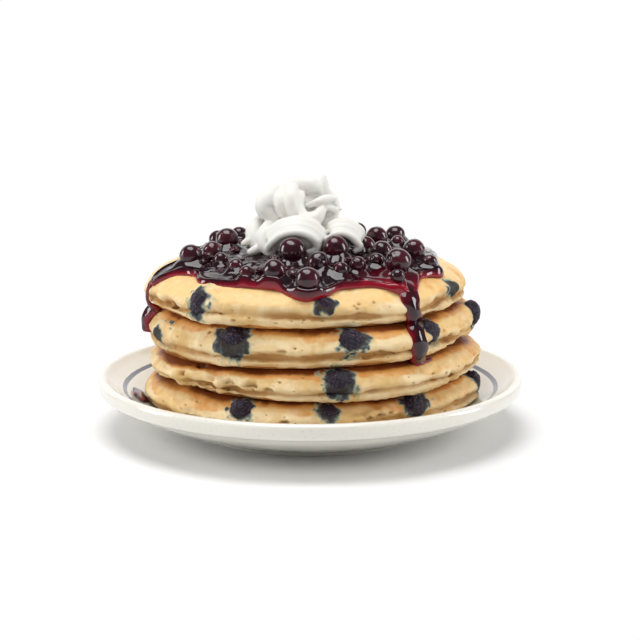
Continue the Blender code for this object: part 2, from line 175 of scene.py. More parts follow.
def closed_faces(rows, columns, first_pole, last_pole):
    """Quads between a wrapped grid's rows and a fan at each pole, as (corners, face starts)."""
    row, column = np.meshgrid(np.arange(rows - 1), np.arange(columns), indexing="ij")
    here = row * columns + column
    right = row * columns + (column + 1) % columns
    quads = np.stack([here, here + columns, right + columns, right], axis=-1).reshape(-1, 4)
    round_column = np.arange(columns)
    next_column = (round_column + 1) % columns
    last = (rows - 1) * columns
    first_fan = np.stack([np.full(columns, first_pole), round_column, next_column], axis=-1)
    last_fan = np.stack([np.full(columns, last_pole), last + next_column, last + round_column], axis=-1)
    corners = np.concatenate([quads.ravel(), first_fan.ravel(), last_fan.ravel()])
    starts = np.concatenate([np.arange(len(quads)) * 4, len(quads) * 4 + np.arange(2 * columns) * 3])
    return corners, starts


def mesh_from_arrays(name, points, corners, starts, values=None):
    """A mesh from whole arrays of points, face corners and face starts, with named values at its points."""
    mesh = bpy.data.meshes.new(name)
    mesh.vertices.add(len(points))
    mesh.vertices.foreach_set("co", np.ascontiguousarray(points, np.float32).ravel())
    mesh.loops.add(len(corners))
    mesh.loops.foreach_set("vertex_index", corners.astype(np.int32))
    mesh.polygons.add(len(starts))
    mesh.polygons.foreach_set("loop_start", starts.astype(np.int32))
    mesh.update(calc_edges=True)
    for key, value in (values or {}).items():
        attribute = mesh.attributes.new(key, "FLOAT", "POINT")
        attribute.data.foreach_set("value", np.ascontiguousarray(value, np.float32).ravel())
    mesh.shade_smooth()
    return mesh


def joined_surfaces(name, grids, values):
    """One closed mesh per wrapped grid, all in one mesh, each first and last row shrunk to a pole."""
    points, corners, starts = [], [], []
    point_count = corner_count = 0
    for grid in grids:
        rows, columns = grid.shape[:2]
        count = (rows - 2) * columns
        face_corners, face_starts = closed_faces(rows - 2, columns, count, count + 1)
        points.append(without_pole_rows(grid))
        corners.append(face_corners + point_count)
        starts.append(face_starts + corner_count)
        point_count += count + 2
        corner_count += len(face_corners)
    joined = {key: np.concatenate([without_pole_rows(value[key]) for value in values]) for key in values[0]}
    arrays = (np.concatenate(part) for part in (points, corners, starts))
    return mesh_from_arrays(name, *arrays, joined)


def without_pole_rows(grid):
    """A grid's inner rows in one list, then one value for each pole."""
    return np.concatenate([grid[1:-1].reshape(-1, *grid.shape[2:]), grid[0, :1], grid[-1, :1]])


def closed_surface(name, grid, values=None):
    """A closed mesh from a wrapped grid whose first and last rows shrink to one pole each."""
    return joined_surfaces(name, [grid], [values or {}])


def place_piece(mesh, material, slot_name, *nodes):
    """Links a finished mesh as a piece of the object that stands for these CAD nodes."""
    obj = bpy.data.objects.new(mesh.name, mesh)
    bpy.context.scene.collection.objects.link(obj)
    mesh.materials.clear()
    mesh.materials.append(material)
    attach(obj, "root")
    if nodes:
        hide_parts(*nodes)
    return obj


def heading(azimuth):
    """The unit vector that points outward at this azimuth."""
    angle = np.radians(azimuth)
    return np.stack([np.cos(angle), np.sin(angle), 0 * angle], axis=-1)


def outline(level, azimuth):
    """A pancake's radius by azimuth: its mean radius with a few cosine waves round it."""
    radius, waves = PANCAKES[level][1], PANCAKES[level][6]
    ripple = sum(share * np.cos(np.radians(lobes * azimuth + phase)) for share, lobes, phase in waves)
    return radius * (1 + ripple)


def plate_top(radius):
    """The plate's upper face: flat well, slope and straight rim."""
    steps = [0.0, WELL_RADIUS, RIM_START, PLATE_RADIUS - LIP_ROUND]
    return np.interp(radius, steps, [WELL_TOP, WELL_TOP, RIM_START_HEIGHT, PLATE_HEIGHT - 0.6 * MM])


def contact(level, x, y):
    """The face under a pancake: a shallow bowl or dome with a tilted and saddled rim."""
    radius = np.hypot(x, y)
    if level == 0:
        return plate_top(radius) + GAP
    middle, rim, right, back, saddle = CONTACTS[level - 1]
    angle = np.arctan2(y, x)
    edge = rim + right * np.cos(angle) + back * np.sin(angle) + saddle * np.cos(2 * angle)
    return middle + (edge - middle) * (radius / CONTACT_REACH) ** 2


def face_point(level, azimuth, radius, top):
    """A point on a pancake's upper or lower face at this azimuth and radius from its centre."""
    x = radius * np.cos(np.radians(azimuth)) + PANCAKES[level][0]
    y = radius * np.sin(np.radians(azimuth))
    z = contact(level + 1, x, y) - CONTACT_GAP if top else contact(level, x, y) + CONTACT_GAP
    return np.stack([x, y, z], axis=-1)


def side_point(level, azimuth, turn, crease_turn=0.0, crease_width=16.0, crease_share=1.0):
    """A point on a pancake's side: a quarter ellipse above the waist, one below, less the crease's bell."""
    centre, _, shoulder, heel, crease, waist, _ = PANCAKES[level]
    edge = outline(level, azimuth)
    upper = face_point(level, azimuth, edge - shoulder, True)[..., 2]
    lower = face_point(level, azimuth, edge - heel, False)[..., 2]
    depth = np.where(turn > 0, shoulder, heel)
    inset = depth * (1 - np.cos(np.radians(turn)))
    inset = inset + crease * crease_share * np.exp(-(((turn - crease_turn) / crease_width) ** 2))
    rise = np.sin(np.radians(turn))
    z = lower + (upper - lower) * (waist + rise * np.where(turn > 0, 1 - waist, waist))
    x = (edge - inset) * np.cos(np.radians(azimuth)) + centre
    y = (edge - inset) * np.sin(np.radians(azimuth))
    if level == 0:
        z = np.maximum(z, plate_top(np.hypot(x, y)) + GAP + CONTACT_GAP)
    return np.stack([x, y, z], axis=-1)


def crown_height(x, y):
    """The top pancake's height under a point, on its crown or its rounded shoulder."""
    centre, _, shoulder = PANCAKES[TOP][:3]
    azimuth = np.degrees(np.arctan2(y, x - centre))
    inset = outline(TOP, azimuth) - np.hypot(x - centre, y)
    turn = np.degrees(np.arccos(np.clip(1 - inset / shoulder, 0, 1)))
    on_side = side_point(TOP, azimuth, np.minimum(turn, 90.0), crease_share=0.0)[..., 2]
    return np.where(inset >= shoulder, contact(CROWN, x, y) - CONTACT_GAP, on_side)


def node_box(name):
    """A CAD node's centre and half sizes."""
    low, high = (np.array(corner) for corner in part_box(name))
    return (low + high) / 2, (high - low) / 2


def nodes_named(prefix):
    """The CAD nodes whose names start so, in order."""
    return sorted(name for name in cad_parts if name.startswith(prefix))


# ---------------------------------------------------------------- materials


def linked(tree, node, inputs):
    """Sets a node's inputs by name or number, linking those that are sockets."""
    for key, value in inputs.items():
        if isinstance(value, bpy.types.NodeSocket):
            tree.links.new(value, node.inputs[key])
        else:
            node.inputs[key].default_value = value
    return node


def add_node(tree, kind, inputs=None, **settings):
    node = tree.nodes.new(kind)
    for key, value in settings.items():
        setattr(node, key, value)
    return linked(tree, node, inputs or {})


def object_coordinates(tree):
    return add_node(tree, "ShaderNodeTexCoord").outputs["Object"]


def attribute(tree, name):
    return add_node(tree, "ShaderNodeAttribute", attribute_name=name).outputs["Fac"]


def noise(tree, scale, detail=3.0, roughness=0.55, distortion=0.0, vector=None):
    """A noise texture's value, at so many lumps a metre."""
    inputs = {"Scale": scale, "Detail": detail, "Roughness": roughness, "Distortion": distortion}
    inputs["Vector"] = vector or object_coordinates(tree)
    return add_node(tree, "ShaderNodeTexNoise", inputs).outputs["Fac"]


def spread(tree, value, low, high, to_low=0.0, to_high=1.0):
    """The value carried smoothly from one range to another, and held at its ends."""
    inputs = {"Value": value, "From Min": low, "From Max": high, "To Min": to_low, "To Max": to_high}
    return add_node(tree, "ShaderNodeMapRange", inputs, interpolation_type="SMOOTHSTEP").outputs["Result"]


def maths(tree, operation, first, second=0.0):
    """One sum on two values."""
    return add_node(tree, "ShaderNodeMath", {0: first, 1: second}, operation=operation).outputs[0]


def times(tree, first, second):
    """The product of two values."""
    return maths(tree, "MULTIPLY", first, second)


def swayed(tree, value, pattern, amount):
    """A value carried up and down by a pattern that runs from 0 to 1, by so much in all."""
    return maths(tree, "ADD", value, times(tree, maths(tree, "SUBTRACT", pattern, 0.5), amount))


def mix(tree, factor, first, second):
    """Two colours mixed by a factor."""
    node = add_node(tree, "ShaderNodeMix", data_type="RGBA")
    linked(tree, node, {0: factor, 6: opaque(first), 7: opaque(second)})
    return node.outputs[2]


def opaque(colour):
    if isinstance(colour, bpy.types.NodeSocket):
        return colour
    return (*colour[:3], 1.0)


def bump(tree, height, strength, distance):
    """A normal tilted by a height's slope."""
    inputs = {"Height": height, "Strength": strength, "Distance": distance}
    return add_node(tree, "ShaderNodeBump", inputs).outputs["Normal"]


def new_material(name):
    """A material and its tree and Principled shader."""
    material = bpy.data.materials.new(name)
    material.use_nodes = True
    return material, material.node_tree, material.node_tree.nodes["Principled BSDF"]


def mottle_group():
    """The shared mottling: a broad patch mask, a fine grain mask, and a height made of both."""
    if "Soft mottle" in bpy.data.node_groups:
        return bpy.data.node_groups["Soft mottle"]
    tree = bpy.data.node_groups.new("Soft mottle", "ShaderNodeTree")
    for name, value in (("Patch scale", 60.0), ("Grain scale", 900.0)):
        socket = tree.interface.new_socket(name, in_out="INPUT", socket_type="NodeSocketFloat")
        socket.default_value = value
    for name in ("Patches", "Grain", "Height"):
        tree.interface.new_socket(name, in_out="OUTPUT", socket_type="NodeSocketFloat")
    entry = tree.nodes.new("NodeGroupInput")
    leave = tree.nodes.new("NodeGroupOutput")
    patches = noise(tree, entry.outputs["Patch scale"], detail=4.0, distortion=0.4)
    grain = noise(tree, entry.outputs["Grain scale"], detail=2.0)
    patch_mask = spread(tree, patches, 0.35, 0.65)
    grain_mask = spread(tree, grain, 0.3, 0.7)
    broad, fine = times(tree, patch_mask, 0.6), times(tree, grain_mask, 0.4)
    height = maths(tree, "ADD", broad, fine)
    linked(tree, leave, {"Patches": patch_mask, "Grain": grain_mask, "Height": height})
    return tree


def mottle(tree, patch_scale, grain_scale):
    """Places the shared mottling in a material, and returns its patch mask, grain mask and height."""
    node = add_node(tree, "ShaderNodeGroup", node_tree=mottle_group())
    linked(tree, node, {"Patch scale": patch_scale, "Grain scale": grain_scale})
    return node.outputs["Patches"], node.outputs["Grain"], node.outputs["Height"]


def china_material(settings):
    """Ivory glaze with a faint mottle and a painted ring."""
    material, tree, shader = new_material("glazed_china")
    patches, grain, height = mottle(tree, 35.0, 700.0)
    glaze = mix(tree, times(tree, patches, 0.25), settings.glaze, settings.glaze_shade)
    glaze = mix(tree, spread(tree, grain, 0.93, 1.0, 0.0, 0.18), glaze, (0.45, 0.38, 0.28))
    position = add_node(tree, "ShaderNodeSeparateXYZ", {0: object_coordinates(tree)})
    flat = add_node(tree, "ShaderNodeCombineXYZ", {"X": position.outputs["X"], "Y": position.outputs["Y"]})
    radius = add_node(tree, "ShaderNodeVectorMath", {0: flat.outputs[0]}, operation="LENGTH").outputs["Value"]
    wavy = swayed(tree, radius, noise(tree, 220.0), 0.5 * MM)
    away = maths(tree, "ABSOLUTE", maths(tree, "SUBTRACT", wavy, settings.ring_radius))
    band = spread(tree, away, settings.ring_width * 0.38, settings.ring_width * 0.62, 1.0, 0.0)
    above = spread(tree, position.outputs["Z"], 14 * MM, 15 * MM)
    face_up = times(tree, band, above)
    facing = add_node(tree, "ShaderNodeNewGeometry").outputs["Normal"]
    normal_up = add_node(tree, "ShaderNodeSeparateXYZ", {0: facing})
    face_up = times(tree, face_up, spread(tree, normal_up.outputs["Z"], 0.1, 0.3))
    ink = mix(tree, grain, settings.ring_colour, tuple(0.7 * part for part in settings.ring_colour))
    colour = mix(tree, times(tree, face_up, 0.93), glaze, ink)
    inputs = {
        "Base Color": colour,
        "Roughness": spread(tree, patches, 0.0, 1.0, 0.09, 0.16),
        "Normal": bump(tree, height, 0.04, 0.3 * MM),
        "Coat Weight": 0.4,
        "Coat Roughness": 0.05,
        "IOR": 1.5,
    }
    linked(tree, shader, inputs)
    return material


def batter_material(settings):
    """Cooked batter: pale crumb on the side, golden crust on the faces, blue stain round the fruit, and
    painted shade in the crease, in the pores and at the seams.
    """
    material, tree, shader = new_material("pancake_batter")
    patches, _, height = mottle(tree, 70.0, 1500.0)
    names = ("crust", "toast_and_seam_shade", "crease", "stain", "pore_shading")
    crust, toast_and_seam_shade, crease, stain, pore_shading = (attribute(tree, name) for name in names)
    blotch = noise(tree, 190.0, detail=5.0, roughness=0.6, distortion=0.3)
    crumb = mix(tree, times(tree, patches, 0.9), settings.crumb, settings.crumb_shade)
    crumb = mix(tree, spread(tree, blotch, 0.52, 0.72, 0.0, 0.55), crumb, settings.crust_light)
    mottled = swayed(tree, toast_and_seam_shade, blotch, 0.7)
    # The browned colour runs from light crust through crust to dark crust, which also carries the painted
    # shade at the seams.
    browned = mix(tree, spread(tree, mottled, 0.02, 0.48), settings.crust_light, settings.crust)
    browned = mix(tree, spread(tree, mottled, 0.45, 1.0), browned, settings.crust_dark_and_seam_shade)
    pale = spread(tree, noise(tree, 130.0, detail=3.0, roughness=0.5), 0.58, 0.70, 0.0, 0.6)
    pale = times(tree, pale, spread(tree, toast_and_seam_shade, 0.0, 0.5, 1.0, 0.0))
    browned = mix(tree, pale, browned, settings.crumb)
    edge = swayed(tree, crust, blotch, 0.5)
    colour = mix(tree, spread(tree, edge, 0.20, 0.74), crumb, browned)
    # Painted shade: the crease is darkened towards the crease colour.
    colour = mix(tree, times(tree, crease, 0.85), colour, settings.crease_shade_colour)
    # Painted shade: each pore is darkened towards the pore colour.
    colour = mix(tree, times(tree, pore_shading, 0.85), colour, settings.pore_shade_colour)
    ragged = noise(tree, 330.0, detail=5.0, roughness=0.6, distortion=0.5)
    soak = swayed(tree, stain, ragged, 0.75)
    soaked = mix(tree, spread(tree, soak, 0.36, 0.84), settings.stain_light, settings.stain_middle)
    soaked = mix(tree, spread(tree, soak, 0.70, 1.05), soaked, settings.stain_dark)
    colour = mix(tree, spread(tree, soak, 0.10, 0.66, 0.0, 0.95), colour, soaked)
    grained = maths(tree, "ADD", times(tree, height, 0.5), times(tree, blotch, 0.8))
    inputs = {
        "Base Color": colour,
        "Roughness": spread(tree, crust, 0.0, 1.0, 0.72, 0.42),
        "Normal": bump(tree, grained, 0.5, 0.5 * MM),
        "Subsurface Weight": spread(tree, stain, 0.0, 0.5, 0.18, 0.0),
        "Subsurface Radius": (1.0, 0.55, 0.25),
        "Subsurface Scale": 1.2 * MM,
        "Specular IOR Level": spread(tree, stain, 0.0, 0.5, 0.38, 0.12),
    }
    linked(tree, shader, inputs)
    return material


def syrup_material(settings):
    """Syrup: near black where it is deep, crimson where it is thin, with a wet surface."""
    material, tree, shader = new_material("blueberry_syrup")
    patches, grain, height = mottle(tree, 130.0, 900.0)
    depth = attribute(tree, "depth")
    varied = swayed(tree, depth, patches, 0.25)
    colour = mix(tree, spread(tree, varied, 0.12, 0.55), settings.thin, settings.middle)
    colour = mix(tree, spread(tree, varied, 0.45, 0.95), colour, settings.deep)
    inputs = {
        "Base Color": colour,
        "Roughness": spread(tree, grain, 0.0, 1.0, 0.05, 0.11),
        "Normal": bump(tree, height, 0.06, 0.4 * MM),
        "Coat Weight": 0.25,
        "Coat Roughness": 0.03,
        "IOR": 1.45,
    }
    linked(tree, shader, inputs)
    return material


def berry_material(settings):
    """Cooked berry skin: maroon black with redder patches, wet with syrup."""
    material, tree, shader = new_material("syruped_berry_skin")
    patches, grain, height = mottle(tree, 110.0, 700.0)
    colour = mix(tree, patches, settings.skin, settings.skin_red)
    colour = mix(tree, spread(tree, attribute(tree, "crown"), 0.2, 0.9), colour, settings.crown)
    inputs = {
        "Base Color": colour,
        "Roughness": spread(tree, grain, 0.0, 1.0, 0.16, 0.22),
        "Normal": bump(tree, height, 0.05, 0.3 * MM),
        "Coat Weight": 0.5,
        "Coat Roughness": 0.11,
        "IOR": 1.42,
    }
    linked(tree, shader, inputs)
    return material


def baked_berry_material(settings):
    """Baked fruit: wrinkled blue black skin with violet flesh showing, teal where batter clings, and pale
    specks painted on as glints.
    """
    material, tree, shader = new_material("baked_berry_skin")
    patches, grain, height = mottle(tree, 260.0, 1800.0)
    wrinkle = noise(tree, 700.0, detail=6.0, roughness=0.7, distortion=0.8)
    colour = mix(tree, spread(tree, wrinkle, 0.42, 0.62), settings.skin, settings.flesh)
    colour = mix(tree, times(tree, patches, 0.5), colour, settings.bloom)
    # Painted highlight: pale lilac specks on the grain's peaks stand in for glints.
    colour = mix(tree, spread(tree, grain, 0.9, 1.0, 0.0, 0.5), colour, (0.30, 0.25, 0.30))
    rough = maths(tree, "ADD", times(tree, height, 0.4), wrinkle)
    inputs = {
        "Base Color": colour,
        "Roughness": spread(tree, wrinkle, 0.3, 0.7, 0.28, 0.6),
        "Normal": bump(tree, rough, 0.5, 0.7 * MM),
        "Specular IOR Level": 0.32,
    }
    linked(tree, shader, inputs)
    return material


def cream_material(settings):
    """Whipped cream: soft white with faint warmer patches."""
    material, tree, shader = new_material("whipped_cream")
    patches, grain, height = mottle(tree, 90.0, 1400.0)
    colour = mix(tree, times(tree, patches, 0.5), settings.white, settings.warm)
    inputs = {
        "Base Color": colour,
        "Roughness": spread(tree, grain, 0.0, 1.0, 0.38, 0.5),
        "Normal": bump(tree, height, 0.08, 0.3 * MM),
        "Subsurface Weight": 0.45,
        "Subsurface Radius": (1.0, 0.92, 0.82),
        "Subsurface Scale": 2.2 * MM,
        "Specular IOR Level": 0.4,
    }
    linked(tree, shader, inputs)
    return material


# ---------------------------------------------------------------- settings


def length_setting(name, description, default):
    return bpy.props.FloatProperty(
        name=name, description=description, default=default, unit="LENGTH", precision=4
    )


def colour_setting(name, description, default):
    return bpy.props.FloatVectorProperty(
        name=name, description=description, default=default, size=3, subtype="COLOR", min=0.0, max=1.0
    )


def power_setting(name, description, default):
    return bpy.props.FloatProperty(name=name, description=description, default=default, unit="POWER", min=0.0)


class PlateSettings(bpy.types.PropertyGroup):
    ring_radius: length_setting("Ring radius", "Radius of the painted ring", 92 * MM)
    ring_width: length_setting("Ring width", "Width of the painted ring", 2.1 * MM)
    ring_colour: colour_setting("Ring colour", "Colour of the painted ring", (0.022, 0.03, 0.095))
    glaze: colour_setting("Glaze", "Colour of the china", (0.80, 0.775, 0.70))
    glaze_shade: colour_setting("Glaze shade", "Darker patches of the china", (0.76, 0.73, 0.65))


class PancakeSettings(bpy.types.PropertyGroup):
    lump_height: length_setting("Lumps", "Height of the lumps on the sides", 0.5 * MM)
    crumb: colour_setting("Crumb", "Colour of the pale sides", (0.83, 0.665, 0.40))
    crumb_shade: colour_setting("Crumb shade", "Deeper patches on the sides", (0.66, 0.425, 0.155))
    crust_light: colour_setting("Light crust", "Palest browning", (0.82, 0.565, 0.25))
    crust: colour_setting("Crust", "Golden browning", (0.68, 0.31, 0.075))
    # Deepest browning, and the colour of the painted shade at the seams.
    crust_dark_and_seam_shade: colour_setting("Dark crust", "Deepest browning", (0.19, 0.042, 0.008))
    # The colour of the painted shade inside the crease.
    crease_shade_colour: colour_setting("Crease", "Colour inside the crease", (0.44, 0.215, 0.055))
    # The colour of the painted shade inside the pores.
    pore_shade_colour: colour_setting("Pores", "Colour inside the pores", (0.32, 0.15, 0.045))
    stain_light: colour_setting("Light stain", "Edge of a fruit stain", (0.42, 0.44, 0.30))
    stain_middle: colour_setting("Stain", "Blue of a fruit stain", (0.045, 0.075, 0.10))
    stain_dark: colour_setting("Dark stain", "Middle of a fruit stain", (0.006, 0.008, 0.016))


class BakedBerrySettings(bpy.types.PropertyGroup):
    skin: colour_setting("Skin", "Blue black skin", (0.006, 0.006, 0.014))
    flesh: colour_setting("Flesh", "Violet flesh", (0.040, 0.012, 0.028))
    bloom: colour_setting("Bloom", "Teal bloom", (0.009, 0.013, 0.027))


class CompoteSettings(bpy.types.PropertyGroup):
    thin: colour_setting("Thin syrup", "Colour where the syrup is thin", (0.24, 0.004, 0.015))
    middle: colour_setting("Syrup", "Colour at middling depth", (0.075, 0.002, 0.009))
    deep: colour_setting("Deep syrup", "Colour where the syrup is deep", (0.013, 0.002, 0.005))


class BerrySettings(bpy.types.PropertyGroup):
    skin: colour_setting("Skin", "Colour of the skin", (0.017, 0.003, 0.007))
    skin_red: colour_setting("Red skin", "Redder patches of the skin", (0.060, 0.006, 0.014))
    crown: colour_setting("Crown", "Colour in the crown at the berry's end", (0.012, 0.003, 0.008))


class CreamSettings(bpy.types.PropertyGroup):
    rope_radius: length_setting("Rope radius", "Radius of the piped rope", 10.5 * MM)
    voxel: length_setting("Detail", "Smallest detail of the merged cream", 0.45 * MM)
    white: colour_setting("White", "Colour of the cream", (0.745, 0.735, 0.70))
    warm: colour_setting("Warm white", "Warmer patches", (0.72, 0.695, 0.64))


class StageSettings(bpy.types.PropertyGroup):
    floor_colour: colour_setting("Floor", "Colour of the floor", (0.86, 0.86, 0.86))
    key_power: power_setting("Key power", "Power of the overhead light", 10.5)
    front_power: power_setting("Front power", "Power of each front light", 4.3)
    backdrop_power: power_setting("Backdrop power", "Power of the white backdrop", 22.0)
    side_power: power_setting("Side power", "Power of each side light", 5.0)


# ---------------------------------------------------------------- plate


class BuildPlate(bpy.types.Operator):
    """Turns the glazed plate with its rolled lip and foot ring"""

    bl_idname = "pancakes.plate"
    bl_label = "Plate"

    def execute(self, context):
        material = china_material(context.scene.stack_plate)
        lip_x, lip_z = PLATE_RADIUS - LIP_ROUND, PLATE_HEIGHT - LIP_ROUND
        keys = [
            (0, WELL_TOP),
            (30 * MM, WELL_TOP),
            (54 * MM, WELL_TOP),
            (60 * MM, WELL_TOP + 0.5 * MM),
            (66 * MM, RIM_START_HEIGHT - 2.0 * MM),
            (72 * MM, RIM_START_HEIGHT + 0.7 * MM),
            (86 * MM, 18.6 * MM),
            (97 * MM, 24.4 * MM),
            (lip_x - 1.6 * MM, PLATE_HEIGHT - 0.5 * MM),
        ]
        keys += [
            (lip_x + LIP_ROUND * math.cos(math.radians(a)), lip_z + LIP_ROUND * math.sin(math.radians(a)))
            for a in (100, 80, 60, 40, 20, 0)
        ]
        keys += [
            (PLATE_RADIUS - 0.1 * MM, 23.4 * MM),
            (PLATE_RADIUS - 0.6 * MM, 21.6 * MM),
            (PLATE_RADIUS - 1.8 * MM, 20.4 * MM),
            (PLATE_RADIUS - 4.0 * MM, 19.4 * MM),
            (92 * MM, 14.6 * MM),
            (80 * MM, 9.4 * MM),
            (70 * MM, 5.8 * MM),
            (61.5 * MM, 3.2 * MM),
            (58.6 * MM, 1.8 * MM),
            (57.6 * MM, 0.4 * MM),
            (57.0 * MM, 0.0),
            (53.6 * MM, 0.0),
            (52.8 * MM, 0.6 * MM),
            (51.6 * MM, 2.8 * MM),
            (49 * MM, 3.2 * MM),
            (0, 3.2 * MM),
        ]
        profile = smooth_path(np.array(keys), 7)
        azimuth = np.radians(np.arange(0, 360, 360 / 256))
        radius, z = profile[:, :1], profile[:, 1:]
        grid = np.stack([radius * np.cos(azimuth), radius * np.sin(azimuth), z + 0 * azimuth], axis=-1)
        place_piece(closed_surface("glazed_plate", grid), material, "china", "plate")
        return {"FINISHED"}


def smooth_path(keys, steps):
    """A Catmull-Rom curve through key points, so many steps to each stretch."""
    padded = np.concatenate([2 * keys[:1] - keys[1:2], keys, 2 * keys[-1:] - keys[-2:-1]])
    t = np.linspace(0, 1, steps, endpoint=False)[None, :, None]
    before, start, end, after = (padded[i : len(padded) - 3 + i, None, :] for i in range(4))
    curve = 0.5 * (
        2 * start
        + (end - before) * t
        + (2 * before - 5 * start + 4 * end - after) * t**2
        + (3 * start - before - 3 * end + after) * t**3
    )
    return np.concatenate([curve.reshape(-1, keys.shape[1]), keys[-1:]])


# ---------------------------------------------------------------- pancakes

# Larger pores: (pancake, azimuth, height, radius).
PORES = (
    (2, -99.5, 55.0 * MM, 2.0 * MM),
    (2, -66.0, 54.0 * MM, 1.1 * MM),
    (2, -128.0, 60.5 * MM, 1.0 * MM),
    (1, -120.0, 38.5 * MM, 2.5 * MM),
    (1, -111.5, 38.0 * MM, 2.7 * MM),
    (1, -105.5, 37.0 * MM, 2.0 * MM),
    (1, -136.0, 43.0 * MM, 2.3 * MM),
    (1, -140.0, 39.0 * MM, 2.0 * MM),
    (0, -98.0, 22.5 * MM, 2.2 * MM),
    (0, -70.0, 23.0 * MM, 1.4 * MM),
    (0, -66.0, 24.0 * MM, 1.6 * MM),
    (0, -62.5, 25.0 * MM, 1.1 * MM),
    (3, -114.0, 68.5 * MM, 0.9 * MM),
    (3, -67.0, 68.5 * MM, 0.9 * MM),
    (3, -142.0, 70.5 * MM, 1.8 * MM),
    (1, 70.0, 38.0 * MM, 1.8 * MM),
    (2, 40.0, 54.0 * MM, 1.6 * MM),
    (2, 150.0, 56.0 * MM, 1.7 * MM),
    (0, 140.0, 22.0 * MM, 1.6 * MM),
)
SMALL_PORES = 110
MEAN_RADIUS = 80 * MM

# Rougher stretches of side: (pancake, azimuth, half width in degrees, height of the lumps).
LUMPY = (
    (1, -130, 16, 2.4 * MM),
    (0, -134, 16, 1.6 * MM),
    (0, -68, 12, 1.8 * MM),
    (2, -25, 18, 1.6 * MM),
    (3, -30, 9, 1.4 * MM),
    (1, -35, 16, 1.2 * MM),
    (1, 60, 30, 1.6 * MM),
    (2, 120, 30, 1.4 * MM),
    (0, 30, 40, 1.4 * MM),
)

# Where an underside pulls in and lifts: (pancake, azimuth, half width in degrees, inset, lift).
TUCKS = (
    (1, -142, 17, 4.6 * MM, 2.6 * MM),
    (1, -128, 5, -1.2 * MM, -0.6 * MM),
    (2, -150, 12, 1.6 * MM, 0.8 * MM),
    (2, -22, 14, 2.6 * MM, 1.2 * MM),
    (1, -28, 12, 2.2 * MM, 0.8 * MM),
    (3, -35, 16, 2.2 * MM, 1.0 * MM),
    (3, -148, 10, 1.8 * MM, 0.8 * MM),
    (1, 75, 22, 2.6 * MM, 1.6 * MM),
    (2, 130, 20, 2.4 * MM, 1.2 * MM),
    (3, 60, 20, 2.0 * MM, 1.0 * MM),
)

# Where the crease opens wider: (pancake, azimuth, half width in degrees, extra share).
OPEN_CREASES = (
    (3, -146, 11, 1.5),
    (3, -30, 12, 1.2),
    (2, -35, 10, 1.0),
    (1, -30, 16, 0.9),
    (0, -125, 12, 1.3),
    (0, -62, 9, 0.8),
    (1, 110, 20, 1.0),
    (2, 70, 16, 1.0),
    (3, 140, 18, 1.2),
)

# Stains where fruit lies just under the batter: (pancake, azimuth, height, half size).
STAINS = (
    (3, -27.0, 78.0 * MM, 6.5 * MM),
    (2, -154.0, 53.0 * MM, 4.6 * MM),
    (2, -148.0, 63.5 * MM, 2.8 * MM),
)

# How far the browning comes down each side (the turn it stops at), and how deep its colour is.
BROWNING = ((34, 0.90), (34, 1.0), (34, 0.95), (22, 0.20))


def bells(table, level, azimuth, column=0):
    """The sum of one pancake's bumps in a table of (pancake, azimuth, half width, values...)."""
    rows = (row for row in table if row[0] == level)
    return sum((row[3 + column] * bell(azimuth, row[1], row[2]) for row in rows), 0 * azimuth)


def pancake_grid(level):
    """A pancake as a wrapped grid from its top's centre over the side to its bottom's centre.

    Returns the points, their turns, the crease mask that paints shade into the crease, and azimuths. The side
    is a superellipse less a bell-shaped crease, whose turn and depth wander round the pancake, between two
    soft lips.
    """
    columns = 800
    azimuth = np.arange(columns) * 360 / columns
    shoulder, heel = PANCAKES[level][2:4]
    ring = heading(azimuth) * MEAN_RADIUS
    wander = -12 + 15 * soft_noise(ring + level, 0.034, 5 + level)
    wander = wander + 5 * soft_noise(ring + level, 0.009, 6 + level)
    share = 0.95 + 0.75 * soft_noise(ring + level, 0.024, 9 + level)
    share = share + 0.3 * soft_noise(ring + level, 0.008, 3 + level)
    share = np.clip(share + bells(OPEN_CREASES, level, azimuth), 0.15, 2.4)
    face_rows = 26 if level == TOP else 8
    inner = np.linspace(0, 1, face_rows, endpoint=False)[:, None] ** 0.8
    edge = outline(level, azimuth)
    top = face_point(level, azimuth + 0 * inner, (edge - shoulder) * inner, True)
    side_rows = 88 if level == TOP else 104
    turn = np.linspace(90, -90, side_rows)[:, None] + 0 * azimuth
    width = 8.5 + 3.0 * np.clip(share - 1, 0, 2)
    side = side_point(level, azimuth + 0 * turn, turn, wander, width, share)
    proud = 0.8 * MM * np.exp(-(((turn - wander - 24) / 15) ** 2))
    proud = proud + 0.5 * MM * np.exp(-(((turn - wander + 24) / 14) ** 2))
    out = heading(azimuth)
    side = side + (proud - 0.5 * MM)[..., None] * out * smooth_step(90, 60, np.abs(turn))[..., None]
    outer = np.linspace(1, 0, 7)[1:, None]
    bottom = face_point(level, azimuth + 0 * outer, (edge - heel) * outer, False)
    grid = np.concatenate([top, side, bottom])
    turns = np.concatenate([90 + 0 * top[..., 0], turn, -90 + 0 * bottom[..., 0]])
    hollow = np.exp(-(((turns - wander) / (width + 1.5)) ** 2)) * np.clip(share, 0, 1.3)
    return grid, turns, hollow, azimuth


def pore_marks(level):
    """This pancake's pores as (azimuth, height or turn, radius, whether it is a height)."""
    dice = np.random.default_rng(100 + level)
    marks = [(azimuth, height, radius, True) for which, azimuth, height, radius in PORES if which == level]
    for _ in range(SMALL_PORES):
        marks.append((dice.uniform(0, 360), dice.normal(-10, 26), dice.uniform(0.3, 0.75) * MM, False))
    return marks


